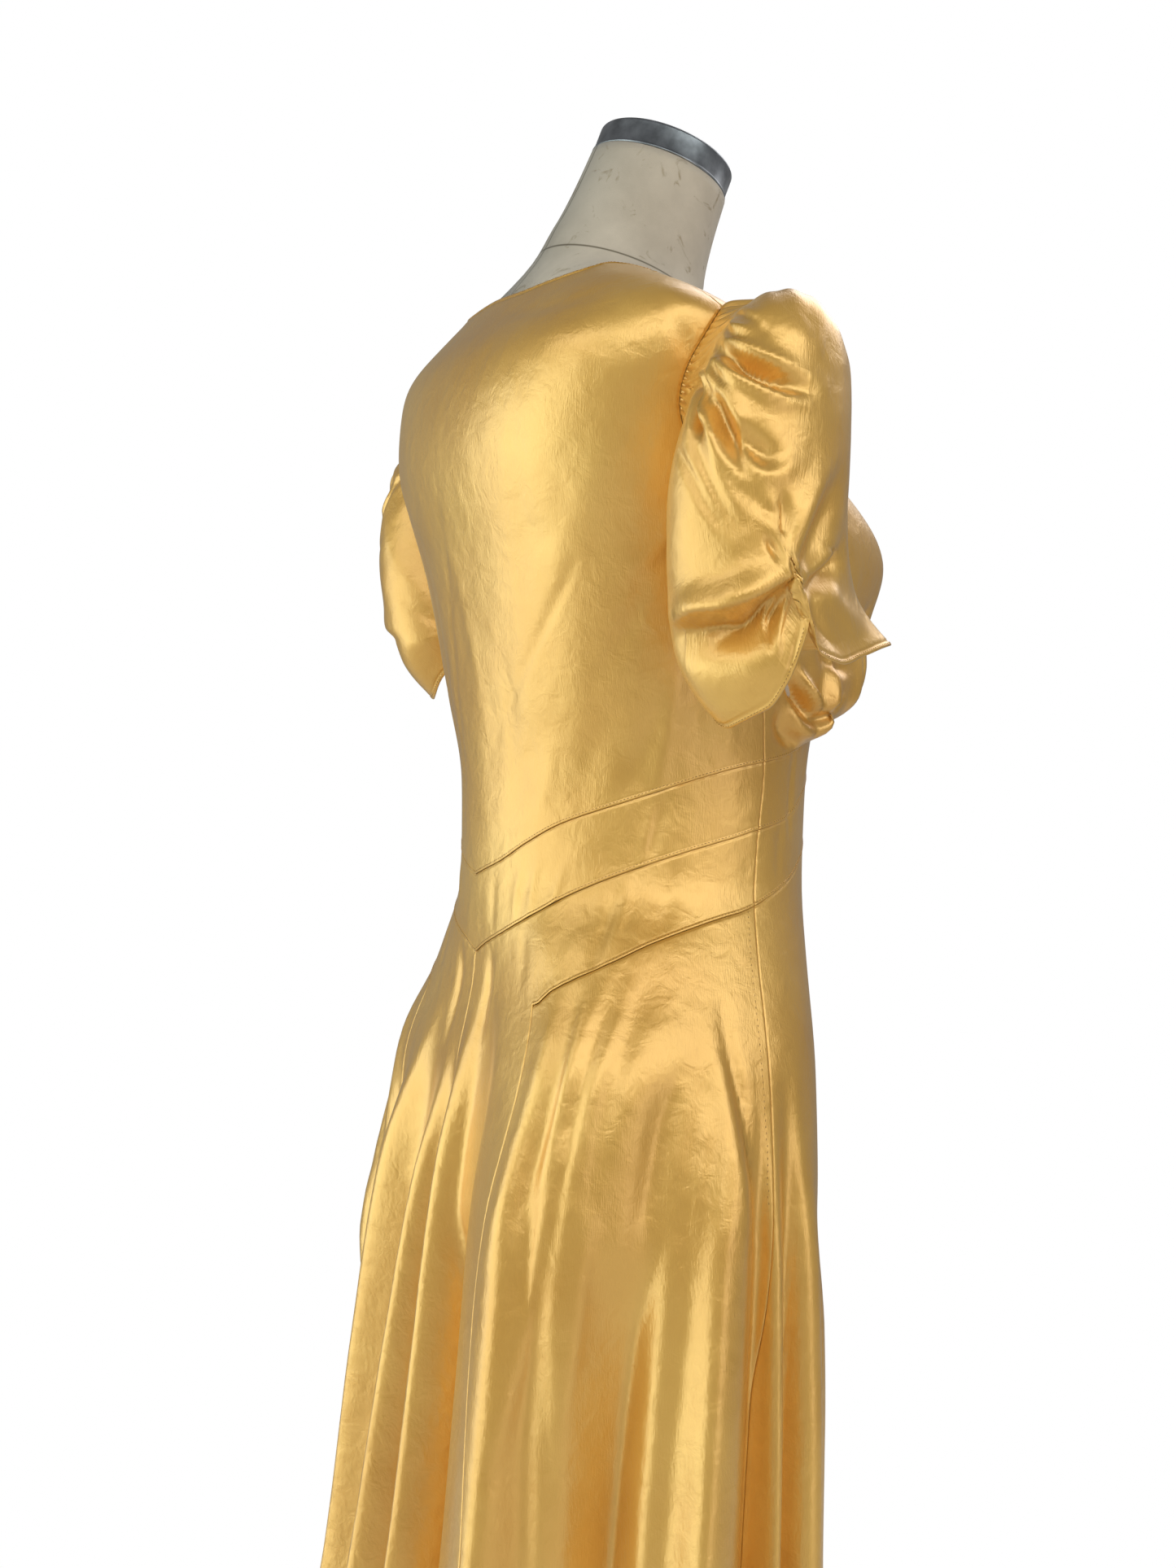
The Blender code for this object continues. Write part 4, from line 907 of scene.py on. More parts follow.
# Creases of the bands, in the same order as the back's
BAND_CREASES = (
    (38.2, 1.049, 36.5, 1.039, 34.8, 1.03, 0.001, 0.0028, 0),
    (30.2, 1.056, 28, 1.038, 25.8, 1.022, 0.001, 0.003, 0),
    (23.5, 1.05, 21.5, 1.035, 19.8, 1.02, 0.0009, 0.003, 0),
    (12, 1.046, 10.5, 1.03, 9.5, 1.012, -0.0008, 0.004, 0),
    (64.2, 1.085, 62.5, 1.066, 60.8, 1.05, 0.0011, 0.003, 0),
    (69, 1.092, 66, 1.072, 64, 1.056, -0.0009, 0.004, 0),
    (-20, 1.052, -18, 1.04, -16, 1.026, 0.001, 0.0045, 0),
    (-40, 1.072, -38, 1.06, -36, 1.044, 0.0009, 0.0045, 0),
    (-62, 1.088, -60, 1.075, -58, 1.058, 0.0009, 0.0045, 0),
    (120.2, 1.119, 119.5, 1.095, 118.8, 1.07, -0.0015, 0.003, 0),
    (112, 1.075, 111, 1.06, 110.5, 1.045, -0.0009, 0.004, 0),
    (134, 1.124, 134, 1.11, 134.5, 1.1, 0.0009, 0.0045, 0),
    (226, 1.124, 226, 1.11, 225.5, 1.1, 0.0009, 0.0045, 0),
)


def side_at(height):
    return float(right_side(station_of(height)))


def left_side_from_front(station):
    return 360.0 - right_side(station)


def block_seams(kind, low, high, block):
    """The seams round a piece of one block: the lower as said, the upper under the piece above."""
    return [(kind, edge_line(low)), ("under", edge_line(high)),
            ("pressed", edge_line(block[:, 0])), ("pressed", edge_line(block[:, -1]))]


across = 2.0 * shares(0.40, 200) - 1.0
rise = shares(0.045, 12)
low = seam_row(BAND_SEAM, side_at(BAND_AT_SIDE) * across)
high = seam_row(BODICE_SEAM, side_at(BODICE_AT_SIDE) * across)
block = run_between(low, high, rise, left_side, right_side)
band = cut_piece("upper_band_back_satin", [block], block_seams("lapped", low, high, block), BAND_CREASES)
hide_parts("upper_band_back")
stitched("upper_band_back_stitches", band, edge_line(low), LAP_STITCH)

across = shares(0.36, 150)
for node, low_seam, high_seam, low_height, high_height in (
        ("upper_band_front", BAND_SEAM, BODICE_SEAM, BAND_AT_SIDE, BODICE_AT_SIDE),
        ("lower_band_front", SKIRT_SEAM, BAND_SEAM, SKIRT_AT_SIDE, BAND_AT_SIDE)):
    low, high = (seam_row(line, side_at(height) + (360.0 - 2.0 * side_at(height)) * across)
                 for line, height in ((low_seam, low_height), (high_seam, high_height)))
    block = run_between(low, high, rise, right_side, left_side_from_front)
    band = cut_piece(node + "_satin", [block], block_seams("lapped", low, high, block), BAND_CREASES)
    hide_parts(node)
    stitched(node + "_stitches", band, edge_line(low), LAP_STITCH)

# Skirt: two centre-back panels, two side-back gores and a wide front, all on the bias and
# flared to a full floor-length hem with a narrow rolled edge. The bands are lapped over it.

# The seam between back panel and gore: height, angle
GORE_SEAM = (
    (HEM_HEIGHT, 32.0), (0.400, 30.5), (0.662, 28.0), (0.754, 24.2), (0.806, 22.6),
    (0.851, 23.8), (0.914, 25.8), (0.9722, 27.0),
)
# Folds of the flare: angle at hip, at knee and at hem, height where it starts, depth at the hem
# (out is positive), half width in degrees, lean (positive is wider on the higher angles' side)
SKIRT_FOLDS = (
    (3.4, 1.8, -0.5, 0.99, 0.044, 3.3, 0.15),
    (9.3, 7.4, 6.5, 0.985, -0.115, 3.6, -0.2),
    (27.5, 29, 34, 0.965, 0.044, 9, -0.35),
    (37.5, 37, 44, 0.93, -0.014, 4, 0.3),
    (20, 20, 19, 0.64, -0.055, 3.6, 0),
    (49, 49, 50, 0.64, 0.03, 4.5, 0),
    (68.5, 58.5, 61, 0.94, -0.07, 8.5, -0.4),
    (85, 77, 79, 0.965, 0.048, 6, 0.3),
    (91, 87, 89, 0.95, -0.03, 2.4, 0),
    (97, 93, 95, 0.92, 0.018, 3.2, 0),
    (103, 101, 104, 0.96, -0.03, 3.4, 0),
    (112, 112, 115, 0.92, 0.026, 8.5, -0.2),
    (125, 126, 128.5, 0.88, -0.022, 7.5, 0.1),
    (138, 140, 142, 0.88, 0.026, 9.5, 0.2),
    (153, 154, 155, 0.86, -0.019, 7, 0),
    (165, 165, 166, 0.87, 0.021, 7.5, -0.2),
    (179, 179, 179, 0.85, -0.022, 8, 0),
    (-0.5, -4.6, -6.5, 0.95, -0.07, 2.6, 0),
    (-3, -10.6, -12.5, 0.965, 0.04, 3.4, -0.4),
    (-8, -17.5, -20, 0.955, -0.066, 3.2, 0.3),
    (-14, -25, -28.5, 0.985, 0.04, 4.2, -0.45),
    (-22, -33.5, -37, 0.945, -0.062, 3.8, 0.2),
    (-31, -42, -46, 0.915, 0.02, 5, -0.35),
    (-45, -53, -55, 0.93, -0.044, 5, 0),
    (-58, -62.5, -63.5, 0.88, 0.02, 6, -0.3),
    (-68, -72, -73, 0.93, -0.036, 5, 0),
    (-80, -82, -83, 0.94, 0.028, 8, 0.2),
    (-93, -95, -96, 0.9, -0.022, 6.5, 0),
    (-106, -107, -108.5, 0.9, 0.024, 9, 0.2),
    (-120, -121, -122, 0.89, -0.024, 7.5, 0),
    (-132, -133, -134, 0.88, 0.02, 7.5, 0),
    (-147, -147, -148, 0.87, -0.022, 8.5, 0),
    (-164, -164, -164, 0.87, 0.026, 9, 0.2),
)
# A fold comes in over the first share of its fall and deepens with the rest of it
FOLD_START = 0.12
FOLD_GROWTH = 0.55
HIP_HEIGHT = 0.95
KNEE_HEIGHT = 0.65
# A trough stays this far off the dress form; below the form's foot it may sink by a share of the
# drop, once it is further down than the second length
FOLD_CLEARANCE = 0.003
FREE_SHARE = 0.75
FREE_BELOW = 0.05


def fold_depth(angle, height):
    """How far the skirt's folds stand out from the plain flare."""
    angle, height = np.broadcast_arrays(np.asarray(angle, float), np.asarray(height, float))
    down = (HIP_HEIGHT - height) / (HIP_HEIGHT - HEM_HEIGHT)
    bend = (HIP_HEIGHT - KNEE_HEIGHT) / (HIP_HEIGHT - HEM_HEIGHT)
    total = np.zeros(angle.shape)
    for hip, knee, foot, start, depth, half_width, lean in SKIRT_FOLDS:
        curl = ((knee - hip) / bend - (foot - hip)) / (bend - 1.0)
        middle = hip + (foot - hip - curl) * down + curl * down**2
        away = (angle - middle + 180.0) % 360.0 - 180.0
        width = half_width * (1.0 + lean * np.tanh(2.0 * away / half_width))
        fall = np.clip((start - height) / (start - HEM_HEIGHT), 0.0, 1.0)
        total += depth * ramp(fall, 0.0, FOLD_START) * fall**FOLD_GROWTH * np.exp(-(away / width)**2)
    room = read_table(FORM_INSET, np.maximum(height, FORM_FOOT))[0] - FOLD_CLEARANCE
    below = np.clip(FORM_FOOT - height, 0.0, None)
    room += FREE_SHARE * below**2 / (below + FREE_BELOW)
    return np.where(total < 0.0, room * np.tanh(total / room), total)


fullness.append(fold_depth)


# Height over which the gore seam's bends are softened
GORE_SOFTEN = 0.035


def gore_angle(station):
    """The gore seam's angle, its bends softened but its top corner kept."""
    height = height_at(station)
    step = np.clip(GORE_SEAM[-1][0] - height, 0.0, GORE_SOFTEN)
    near = [read_table(GORE_SEAM, height + share * step)[0] for share in (-1.0, -0.5, 0.0, 0.5, 1.0)]
    return sum(near) / len(near)


def level_row(angles, station):
    return np.column_stack((angles, np.full(len(angles), station)))


# Creases of the skirt's back, in the same order as the bodice's
SKIRT_CREASES = (
    (54.8, 1.036, 50.5, 1.012, 46.8, 0.993, -0.0016, 0.0045, 0),
    (58, 1.044, 55, 1.02, 52, 1.001, 0.0011, 0.0035, 0),
    (72, 1.05, 70, 1.035, 68.5, 1.018, -0.0008, 0.0045, 0),
    (24, 1.015, 23, 1.003, 22, 0.985, -0.0007, 0.0045, 0),
    (43, 0.974, 38, 0.916, 32.5, 0.85, -0.0036, 0.0056, 0.3),
    (35, 0.966, 32, 0.916, 27.5, 0.83, 0.0026, 0.008, 0),
    (55.5, 0.98, 47, 0.928, 42, 0.845, -0.0038, 0.0064, 0.3),
    (49, 0.978, 42.5, 0.93, 37.5, 0.86, 0.0026, 0.008, 0),
    (64, 0.986, 57, 0.935, 52, 0.865, -0.0026, 0.007, 0),
    (72, 0.93, 68.5, 0.901, 65, 0.84, -0.004, 0.008, 0),
    (79, 0.915, 77.2, 0.88, 76, 0.84, 0.0022, 0.004, 0),
    (83, 0.97, 87, 0.905, 88.6, 0.84, -0.0034, 0.004, 0),
    (80, 0.96, 83.5, 0.9, 85, 0.84, 0.0024, 0.006, 0),
    (8, 0.996, 7, 0.975, 6, 0.945, -0.0024, 0.0045, 0),
    (74, 0.925, 80.5, 0.9, 84, 0.89, 0.001, 0.006, 0),
    (43, 0.9, 37.5, 0.82, 33, 0.73, 0.0045, 0.007, 0.2),
    (41, 0.78, 44, 0.72, 45, 0.66, -0.0022, 0.006, 0),
    (52, 0.86, 50, 0.8, 47, 0.74, 0.0018, 0.006, 0),
    (98, 0.86, 103, 0.82, 107, 0.79, -0.0022, 0.004, 0),
    (97, 0.78, 101, 0.745, 104, 0.7, -0.0022, 0.0045, 0),
)
hem = station_of(HEM_HEIGHT)
corner_height, corner_angle = GORE_SEAM[-1]
hem_gore, hem_side = GORE_SEAM[0][1], SIDE_SEAM[0][1]
skirt_side, band_side = side_at(SKIRT_AT_SIDE), side_at(BAND_AT_SIDE)

across = shares(0.09, 52)
corner_row = level_row(across * corner_angle, station_of(corner_height))
foot = level_row(across * hem_gore, hem)
centre_low = run_between(foot, corner_row, shares(1.0, 130, end=False), None, gore_angle)
centre_high = run_between(corner_row, seam_row(BAND_SEAM, across * corner_angle), rise)
across = shares(0.16, 60, start=False)
low = seam_row(SKIRT_SEAM, corner_angle + (skirt_side - corner_angle) * across)
high = seam_row(BAND_SEAM, corner_angle + (band_side - corner_angle) * across)
right_blocks = [centre_low, centre_high, run_between(low, high, rise, None, right_side)]
left_blocks = [mirrored(block) for block in right_blocks]
right_top = np.vstack((centre_high[-1, :-1], high))
left_top = np.vstack((left_blocks[2][-1, :-1], left_blocks[1][-1]))
left_creases = np.array(SKIRT_CREASES) * OTHER_SIDE
for node, blocks, lap, top, creases, centre, side in (
        ("back_panel_right", right_blocks, low, right_top, SKIRT_CREASES, 0, -1),
        ("back_panel_left", left_blocks, left_blocks[2][0], left_top, left_creases, -1, 0)):
    low_part, high_part, band_part = blocks
    seams = [
        ("pressed", edge_line(np.vstack((low_part[:-1, centre], high_part[:, centre])))),
        ("under", edge_line(top)), ("pressed", edge_line(low_part[:, side])), ("lapped", edge_line(lap)),
        ("pressed", edge_line(band_part[:, side])), ("faced", edge_line(low_part[0])),
    ]
    panel = cut_piece(node + "_satin", blocks, seams, creases)
    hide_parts(node)
    stitched(node + "_stitches", panel, edge_line(lap), LAP_STITCH)

across = shares(0.16, 66)
top = seam_row(SKIRT_SEAM, corner_angle + (skirt_side - corner_angle) * across)
foot = level_row(hem_gore + (hem_side - hem_gore) * across, hem)
gore = run_between(foot, top, shares(1.0, 130), gore_angle, right_side)
for name, block, creases in (
        ("side_back_gore_right", gore, SKIRT_CREASES), ("side_back_gore_left", mirrored(gore), left_creases)):
    piece = cut_piece(name + "_satin", [block], block_seams("faced", block[0], block[-1], block), creases)
    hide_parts(name)
    if name == "side_back_gore_right":
        # A hand-pricked row holds the opening's facing beside the right side seam
        PRICK_IN, PRICK_PITCH, PRICK_FOOT = 0.006, 0.0036, 0.86
        line = edge_line(block[:, -1])
        stitched("opening_stitches", piece, line[line[:, 2] > PRICK_FOOT], PRICK_IN, PRICK_PITCH)

across = shares(0.45, 120)
top = seam_row(SKIRT_SEAM, skirt_side + (360.0 - 2.0 * skirt_side) * across)
foot = level_row(hem_side + (360.0 - 2.0 * hem_side) * across, hem)
block = run_between(foot, top, shares(1.0, 110), right_side, left_side_from_front)
piece = cut_piece("front_skirt_satin", [block], block_seams("faced", block[0], block[-1], block))
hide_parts("front_skirt")

# Sleeves: short puffs cut on the bias, gathered into the armhole over the shoulder and drawn up
# at the outer hem into a shirred knot, from which the back and front flaps hang.

# Rings from armhole to hem: along, top outward, top height, underarm outward, underarm
# height, half depth, middle at y
SLEEVE_RINGS = (
    (0, 0.171, 1.37, 0.158, 1.257, 0.04, 0.012),
    (0.1, 0.19, 1.364, 0.166, 1.251, 0.04, 0.012),
    (0.25, 0.225, 1.367, 0.172, 1.24, 0.044, 0.014),
    (0.4, 0.247, 1.356, 0.174, 1.228, 0.05, 0.02),
    (0.55, 0.257, 1.325, 0.175, 1.215, 0.052, 0.026),
    (0.7, 0.261, 1.282, 0.176, 1.203, 0.051, 0.028),
    (0.85, 0.263, 1.24, 0.176, 1.19, 0.05, 0.022),
    (1, 0.262, 1.203, 0.175, 1.178, 0.047, -0.005),
)
# The hem, drawn up at its outer middle: around, outward, back, down
SLEEVE_HEM = (
    (0, 0, 0.029, 0), (15, 0, 0.0125, 0.015), (30, 0, 0.004, 0.031),
    (45, 0.001, -0.001, 0.046), (60, -0.001, -0.0027, 0.057), (90, -0.003, 0, 0.06),
    (135, -0.001, 0.012, 0.032), (180, -0.001, 0.015, 0.003), (225, -0.008, 0.008, 0.006),
    (270, -0.007, -0.007, 0.013), (285, -0.008, 0.003, 0.019), (300, -0.009, 0.015, 0.027),
    (315, -0.006, 0.029, 0.035), (330, -0.002, 0.0385, 0.032), (345, 0, 0.0352, 0.017),
    (360, 0, 0.029, 0),
)
# How far along the hem's shape begins, and how fast it comes in
SLEEVE_HEM_STARTS = 0.62
SLEEVE_HEM_GROWTH = 1.4
# The left sleeve is swung back and its hem lifted behind by these lengths
LEFT_SLEEVE_BACK = 0.013
LEFT_SLEEVE_LIFT = 0.030
# The left sleeve hangs plainer, so its folds are shallower
LEFT_SLEEVE_FOLDS = 0.35
# Folds: around and along at three places, depth (out is positive), half width, and how much
# wider the fold is on its lower side
SLEEVE_CREASES = (
    (57.5, 0.33, 39, 0.505, 8, 0.603, -0.011, 0.0048, -0.2),
    (36, 0.515, 16, 0.59, -9, 0.612, -0.008, 0.0056, -0.3),
    (53.5, 0.345, 33, 0.49, 6, 0.573, 0.0032, 0.0036, 0),
    (54.5, 0.43, 25.5, 0.59, -8.5, 0.632, 0.0045, 0.004, 0),
    (40, 0.25, 36, 0.34, 27, 0.43, -0.0034, 0.0024, 0),
    (44, 0.28, 41, 0.38, 30, 0.45, 0.0026, 0.0024, 0),
    (48, 0.31, 42, 0.41, 31, 0.474, -0.0032, 0.0024, 0),
    (58, 0.42, 52, 0.49, 42, 0.555, -0.0042, 0.0024, 0),
    (60, 0.43, 57, 0.5, 49, 0.565, 0.0028, 0.0022, 0),
    (64, 0.45, 60.5, 0.52, 54.5, 0.575, -0.0042, 0.0024, 0),
    (66, 0.46, 63.5, 0.53, 58, 0.585, 0.0028, 0.0022, 0),
    (69, 0.48, 66, 0.55, 61, 0.6, -0.0036, 0.0024, 0),
    (42, 0.468, 10.5, 0.57, -20.5, 0.595, 0.003, 0.006, 0),
    (66.5, 0.427, 47, 0.605, 34.5, 0.713, -0.01, 0.005, 0.2),
    (38, 0.65, 27, 0.698, 12.5, 0.74, -0.008, 0.006, 0),
    (37, 0.662, 32, 0.705, 22, 0.743, 0.003, 0.003, 0),
    (28.5, 0.733, 12.5, 0.755, -6.5, 0.745, 0.0025, 0.0045, 0),
    (49.5, 0.562, 35.5, 0.65, 20, 0.713, 0.003, 0.0055, 0),
    (59, 0.537, 49.5, 0.672, 26, 0.787, 0.0035, 0.0045, 0),
    (47.5, 0.685, 37, 0.748, 10, 0.833, -0.0032, 0.0035, 0),
    (81.5, 0.562, 64, 0.705, 45.5, 0.79, -0.0038, 0.0035, 0),
    (78, 0.575, 60.5, 0.713, 43.5, 0.787, 0.002, 0.0035, 0),
    (68, 0.585, 55, 0.718, 38.5, 0.795, -0.0028, 0.0035, 0),
    (78, 0.128, 68.5, 0.503, 59.5, 0.593, -0.006, 0.0035, 0),
    (78, 0.188, 58.5, 0.55, 49, 0.642, 0.003, 0.003, 0),
    (12.5, 0.787, -3, 0.84, -2.5, 0.88, -0.0038, 0.004, 0),
    (21.5, 0.843, 18, 0.865, 13.5, 0.897, -0.0032, 0.0026, 0),
    (38.5, 0.255, 30.5, 0.403, 21, 0.468, 0.0025, 0.0035, 0),
    (37, 0.36, 26, 0.445, 17.5, 0.49, -0.0028, 0.0038, 0),
    (15, 0.45, -4, 0.5, -20, 0.52, 0.002, 0.01, 0),
    (98, 0.828, 54.5, 0.86, 15, 0.922, 0.01, 0.007, -0.6),
    (97.5, 0.85, 55, 0.892, 18, 0.938, -0.021, 0.009, 0.4),
    (98.5, 0.845, 70, 0.885, 36, 0.91, 0.0035, 0.006, 0),
    (-20, 0.873, -19, 0.8, -34, 0.703, 0.0045, 0.008, 0),
    (-28.5, 0.87, -34, 0.805, -43, 0.725, -0.006, 0.009, 0),
    (5, 0.963, -39, 0.855, -49.5, 0.815, 0.006, 0.006, 0),
    (-32, 0.883, -46.5, 0.85, -57.5, 0.815, -0.011, 0.007, 0),
    (76, 0.888, 60, 0.893, 46, 0.9, -0.004, 0.0035, 0),
    (23, 0.92, 38, 0.907, 50, 0.902, -0.003, 0.0026, 0),
    (20, 0.93, 35, 0.921, 46, 0.922, 0.002, 0.0022, 0),
    (17, 0.94, 32, 0.935, 42, 0.945, -0.0036, 0.0021, 0),
    (15, 0.95, 30, 0.948, 41, 0.958, 0.002, 0.002, 0),
    (13.5, 0.96, 27.5, 0.96, 41, 0.972, -0.0034, 0.0021, 0),
    (9.5, 0.982, 24, 0.981, 39, 0.988, -0.0022, 0.0018, 0),
    (-39, 0.893, -40, 0.927, -48, 0.958, -0.0025, 0.004, 0),
    (-42, 0.865, -55, 0.897, -67, 0.95, 0.003, 0.008, 0),
    (12, 0.928, 5, 0.942, -6, 0.938, -0.0022, 0.0014, 0),
    (10, 0.94, 4, 0.955, -8, 0.95, -0.0022, 0.0014, 0),
    (8, 0.955, 2, 0.968, -8, 0.965, -0.0022, 0.0014, 0),
    (6, 0.968, 0, 0.98, -8, 0.98, -0.0022, 0.0014, 0),
)
# The cloth that one degree round a sleeve and its whole length take up
SLEEVE_DEGREE = 0.0009
SLEEVE_LENGTH = 0.16
# Gathers over the shoulder: the share of the way to the underarm that they reach, and the soft
# waves that they start
SLEEVE_GATHERED_TO = 0.62
SLEEVE_GATHERS = 6
SLEEVE_GATHER_DEPTH = 0.0010
# The small pinches at the seam: degrees from one to the next, depth, width as a share of the
# spacing, and how far along they run, evenly and more or less
PINCH_SPACING = 7.0
PINCH_DEPTH = 0.0026
PINCH_WIDTH = 0.22
PINCH_REACH = 0.085
PINCH_UNEVEN = 0.045

# The right armhole's rim as a closed run of points from the shoulder tip by the back
rise = np.linspace(0.0, 1.0, 121)
rim = np.concatenate((armhole_edge(1, -1, rise)[::-1], armhole_edge(1, 1, rise)[1:]))
RIM_POINTS = gown_point(rim[:, 0], rim[:, 1])
RIM_NORMALS = face_normal(gown_point, rim[:, 0], rim[:, 1])
RIM_AROUND = np.linspace(0.0, 360.0, len(RIM_POINTS))
# The sleeve starts this far inside the rim and sunk below it, and stands out this far in its length
RIM_GAP = 0.0003
RIM_SINK = 0.0015
RIM_STAND = 0.11


# How far along the puff begins and has taken over from the rim
PUFF_FROM = 0.03
PUFF_FULL = 0.20


def rim_point(around, along):
    """The sleeve's first stretch, just inside the armhole and standing out of it."""
    around = around % 360.0
    point = np.stack([np.interp(around, RIM_AROUND, RIM_POINTS[:, i]) for i in range(3)], axis=-1)
    normal = np.stack([np.interp(around, RIM_AROUND, RIM_NORMALS[:, i]) for i in range(3)], axis=-1)
    inward = RIM_POINTS.mean(axis=0) - point
    inward /= np.linalg.norm(inward, axis=-1, keepdims=True)
    reach = -RIM_SINK + along * RIM_STAND
    return point + inward * RIM_GAP + normal * reach[..., None]


def sleeve_point(around, along):
    """A point of the right sleeve: around is 0 at the top, 90 back, 180 underarm, 270 front."""
    around, along = np.broadcast_arrays(np.asarray(around, float), np.asarray(along, float))
    top_out, top_height, under_out, under_height, half_depth, middle = read_table(SLEEVE_RINGS, along)
    turn = np.radians(around)
    share = 0.5 + 0.5 * np.cos(turn)
    out = under_out + (top_out - under_out) * share
    height = under_height + (top_height - under_height) * share
    puff = np.stack((-out, middle + half_depth * np.sin(turn), height), axis=-1)

    outward, back, down = read_table(SLEEVE_HEM, around % 360.0)
    near_hem = ramp(along, SLEEVE_HEM_STARTS, 1.0)**SLEEVE_HEM_GROWTH
    puff += near_hem[..., None] * np.stack((-outward, back, -down), axis=-1)

    axis = np.stack((-0.5 * (top_out + under_out), middle, 0.5 * (top_height + under_height)), axis=-1)
    away = puff - axis
    away /= np.linalg.norm(away, axis=-1, keepdims=True)
    rise = np.where(around % 360.0 <= 180.0, around % 360.0, 360.0 - around % 360.0) / 180.0
    gathered = 1.0 - ramp(rise, SLEEVE_GATHERED_TO - 0.08, SLEEVE_GATHERED_TO)
    wave = np.cos(2.0 * math.pi * SLEEVE_GATHERS * rise / SLEEVE_GATHERED_TO)
    from_seam = np.clip(along - PUFF_FROM, 0.0, None) / 0.09
    lift = SLEEVE_GATHER_DEPTH * gathered * wave * from_seam * np.exp(1.0 - from_seam)
    puff += lift[..., None] * away

    blend = ramp(along, PUFF_FROM, PUFF_FULL)[..., None]
    point = rim_point(around, along) * (1.0 - blend) + puff * blend
    phase = (around + 2.2 * np.sin(np.radians(around) * 5.0)) / PINCH_SPACING
    pleat = np.rint(phase)
    pinch = 0.35 - 1.35 * np.exp(-((phase - pleat) / PINCH_WIDTH)**2)
    reach = PINCH_REACH + PINCH_UNEVEN * np.sin(2.4 * pleat)
    pinch *= PINCH_DEPTH * gathered * ramp(along, 0.006, 0.03) * (1.0 - ramp(along / reach, 0.5, 2.3))
    return point + pinch[..., None] * away


def left_sleeve_point(around, along):
    """The left sleeve: swung a little further back, its hem hanging more level."""
    point = sleeve_point(-np.asarray(around, float), along)
    swing = ramp(along, 0.03, 0.25)
    point[..., 0] *= -1.0
    point[..., 1] += LEFT_SLEEVE_BACK * swing
    behind = ramp(point[..., 1], 0.0, 0.06) * ramp(along, SLEEVE_HEM_STARTS, 1.0)
    point[..., 2] += LEFT_SLEEVE_LIFT * behind
    return point


# Columns and rows close together at the gathers and the knot
around = np.concatenate([np.arange(start, end, step) for start, end, step in (
    (-180.0, -60.0, 4.0), (-60.0, -25.0, 1.25), (-25.0, 50.0, 0.75), (50.0, 110.0, 1.0), (110.0, 180.1, 3.5))])
near = np.array(EDGE_STEPS) / SLEEVE_LENGTH
along = np.concatenate((near, np.arange(0.05, 0.26, 0.009), np.arange(0.272, 0.80, 0.0125),
                        np.arange(0.806, 0.955, 0.0055), 1.0 - near[::-1]))
for node, face, sign in (("sleeve_right", sleeve_point, 1), ("sleeve_left", left_sleeve_point, -1)):
    block = np.stack(np.meshgrid(sign * around[::sign], along), axis=-1)
    hem_line = face(around, np.ones(len(around)))
    creases = np.array(SLEEVE_CREASES)
    if sign < 0:
        creases *= OTHER_SIDE
        creases[:, 6] *= LEFT_SLEEVE_FOLDS
    piece = cut_piece(node + "_satin", [block], [("faced", hem_line)], creases, face, np.asarray,
                      (SLEEVE_DEGREE, SLEEVE_LENGTH))
    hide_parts(node)
    stitched(node + "_hem_stitches", piece, hem_line, NECK_STITCH)

# Floor: a plain pale sweep, matt by the stand so that it carries its shadow, and fading further
# out to the white of the surround.
FADE_FROM = 0.9
FADE_TO = 1.7
FLOOR_SIZE = 16.0


def blended(owner, share, first, second):
    """One shader passing into another by a share."""
    node = add_node(owner, "ShaderNodeMixShader", {"Fac": share})
    for entry, source in zip(node.inputs[1:], (first, second)):
        owner.node_tree.links.new(source, entry)
    return node.outputs["Shader"]


paint, shader, where = new_material("pale_matt_paint", Base_Color=colour("#E4E1DC"), Roughness=0.9)
radius = add_node(paint, "ShaderNodeVectorMath", {"Vector": where}, operation="LENGTH").outputs["Value"]
far = spread(paint, radius, interpolation_type="SMOOTHSTEP", From_Min=FADE_FROM, From_Max=FADE_TO)
seen_far = maths(paint, "MULTIPLY", far, add_node(paint, "ShaderNodeLightPath").outputs["Is Camera Ray"])
glow = add_node(paint, "ShaderNodeEmission", Color=colour("#FFFFFF"), Strength=1.0).outputs["Emission"]
wire(paint, blended(paint, seen_far, shader.outputs["BSDF"], glow), paint.node_tree.nodes["Material Output"],
     "Surface")
bm = bmesh.new()
bmesh.ops.create_grid(bm, x_segments=8, y_segments=8, size=FLOOR_SIZE / 2)
mesh = bpy.data.meshes.new("floor")
bm.to_mesh(mesh)
bm.free()
mesh.materials.append(paint)
floor = bpy.data.objects.new("floor", mesh)
bpy.context.scene.collection.objects.link(floor)

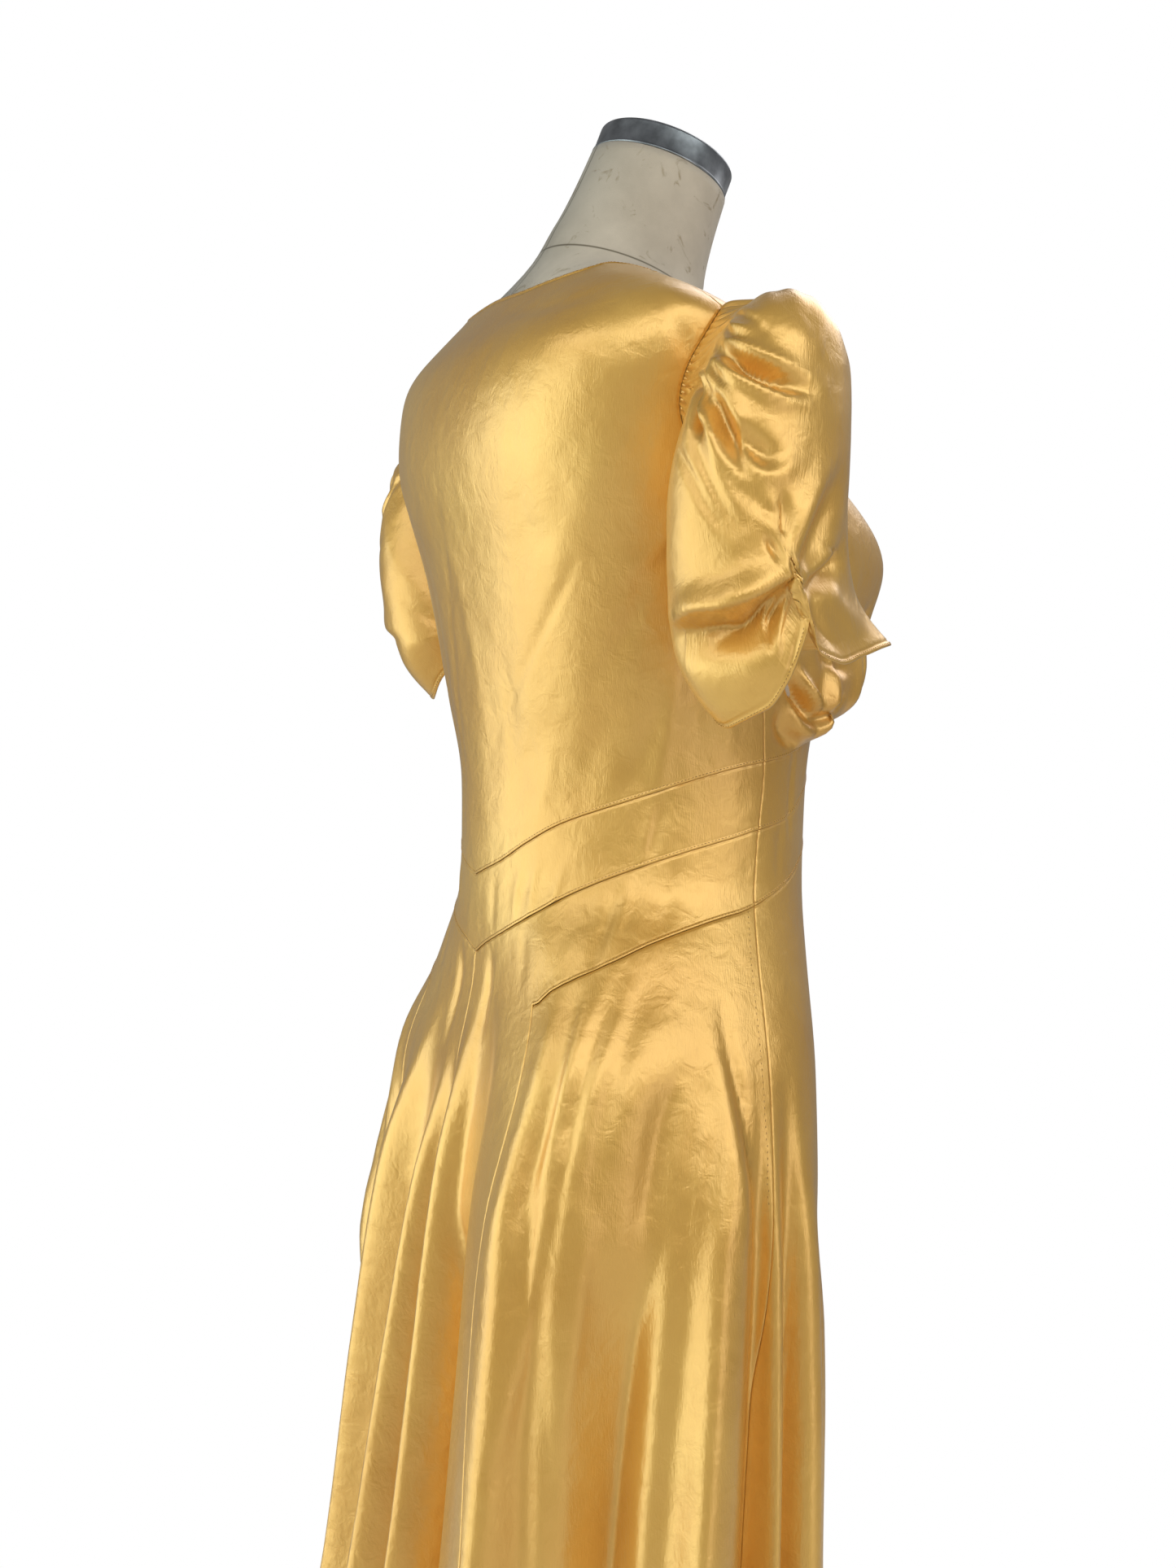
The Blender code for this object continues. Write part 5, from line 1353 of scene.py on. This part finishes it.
# Camera: a long portrait lens level with the waist, three-quarters behind the wearer's right. The
# frame takes in the gown from above the knee to the neck.
camera = bpy.data.objects.new("camera", bpy.data.cameras.new("camera"))
camera.location = (-1.344, 0.630, 1.10)
camera.rotation_euler = (math.radians(90.0), 0.0, math.radians(-114.0))
camera.data.lens = 54.05
camera.data.sensor_width = 36.0
camera.data.clip_start = 0.05
bpy.context.scene.collection.objects.link(camera)
bpy.context.scene.camera = camera

# Studio light: a wide soft window behind the back, a long soft box high on the right with a weak
# low one beside it, one over the hip, one for the front, and a surround that is white to the camera.
TARGET = Vector((0.0, 0.0, 1.05))


def soft_box(name, angle, height, distance, width, tall, power, tint):
    """A rectangular lamp at an angle round the gown, turned to its middle."""
    turn = math.radians(angle)
    light = bpy.data.lights.new(name, "AREA")
    light.shape = "RECTANGLE"
    light.size = width
    light.size_y = tall
    light.energy = power
    light.color = colour(tint)[:3]
    lamp = bpy.data.objects.new(name, light)
    lamp.location = (-distance * math.sin(turn), distance * math.cos(turn), height)
    lamp.rotation_euler = (TARGET - lamp.location).to_track_quat("-Z", "Y").to_euler()
    bpy.context.scene.collection.objects.link(lamp)


soft_box("window", -13.0, 1.05, 2.6, 3.4, 2.0, 39.0, "#EEFFFA")
soft_box("high_box", 84.0, 2.50, 2.8, 5.6, 1.4, 58.0, "#F6FFFB")
soft_box("low_fill", 104.0, 0.95, 2.8, 1.3, 1.3, 6.0, "#FFFFFF")
soft_box("hip_box", 12.0, 2.75, 2.5, 2.0, 0.9, 11.0, "#F6FFFB")
soft_box("front_box", 205.0, 3.10, 2.4, 2.6, 2.0, 34.0, "#FFFFFF")
SURROUND = 0.21
world = bpy.data.worlds.new("white_surround")
bpy.context.scene.world = world
world.use_nodes = True
surround = world.node_tree.nodes["Background"]
surround.inputs["Color"].default_value = colour("#FFFFFF")
surround.inputs["Strength"].default_value = SURROUND
seen = add_node(world, "ShaderNodeBackground", Color=colour("#FFFFFF"), Strength=1.0).outputs["Background"]
path = add_node(world, "ShaderNodeLightPath").outputs["Is Camera Ray"]
wire(world, blended(world, path, surround.outputs["Background"], seen), world.node_tree.nodes["World Output"],
     "Surface")
bpy.context.scene.view_settings.view_transform = "Standard"
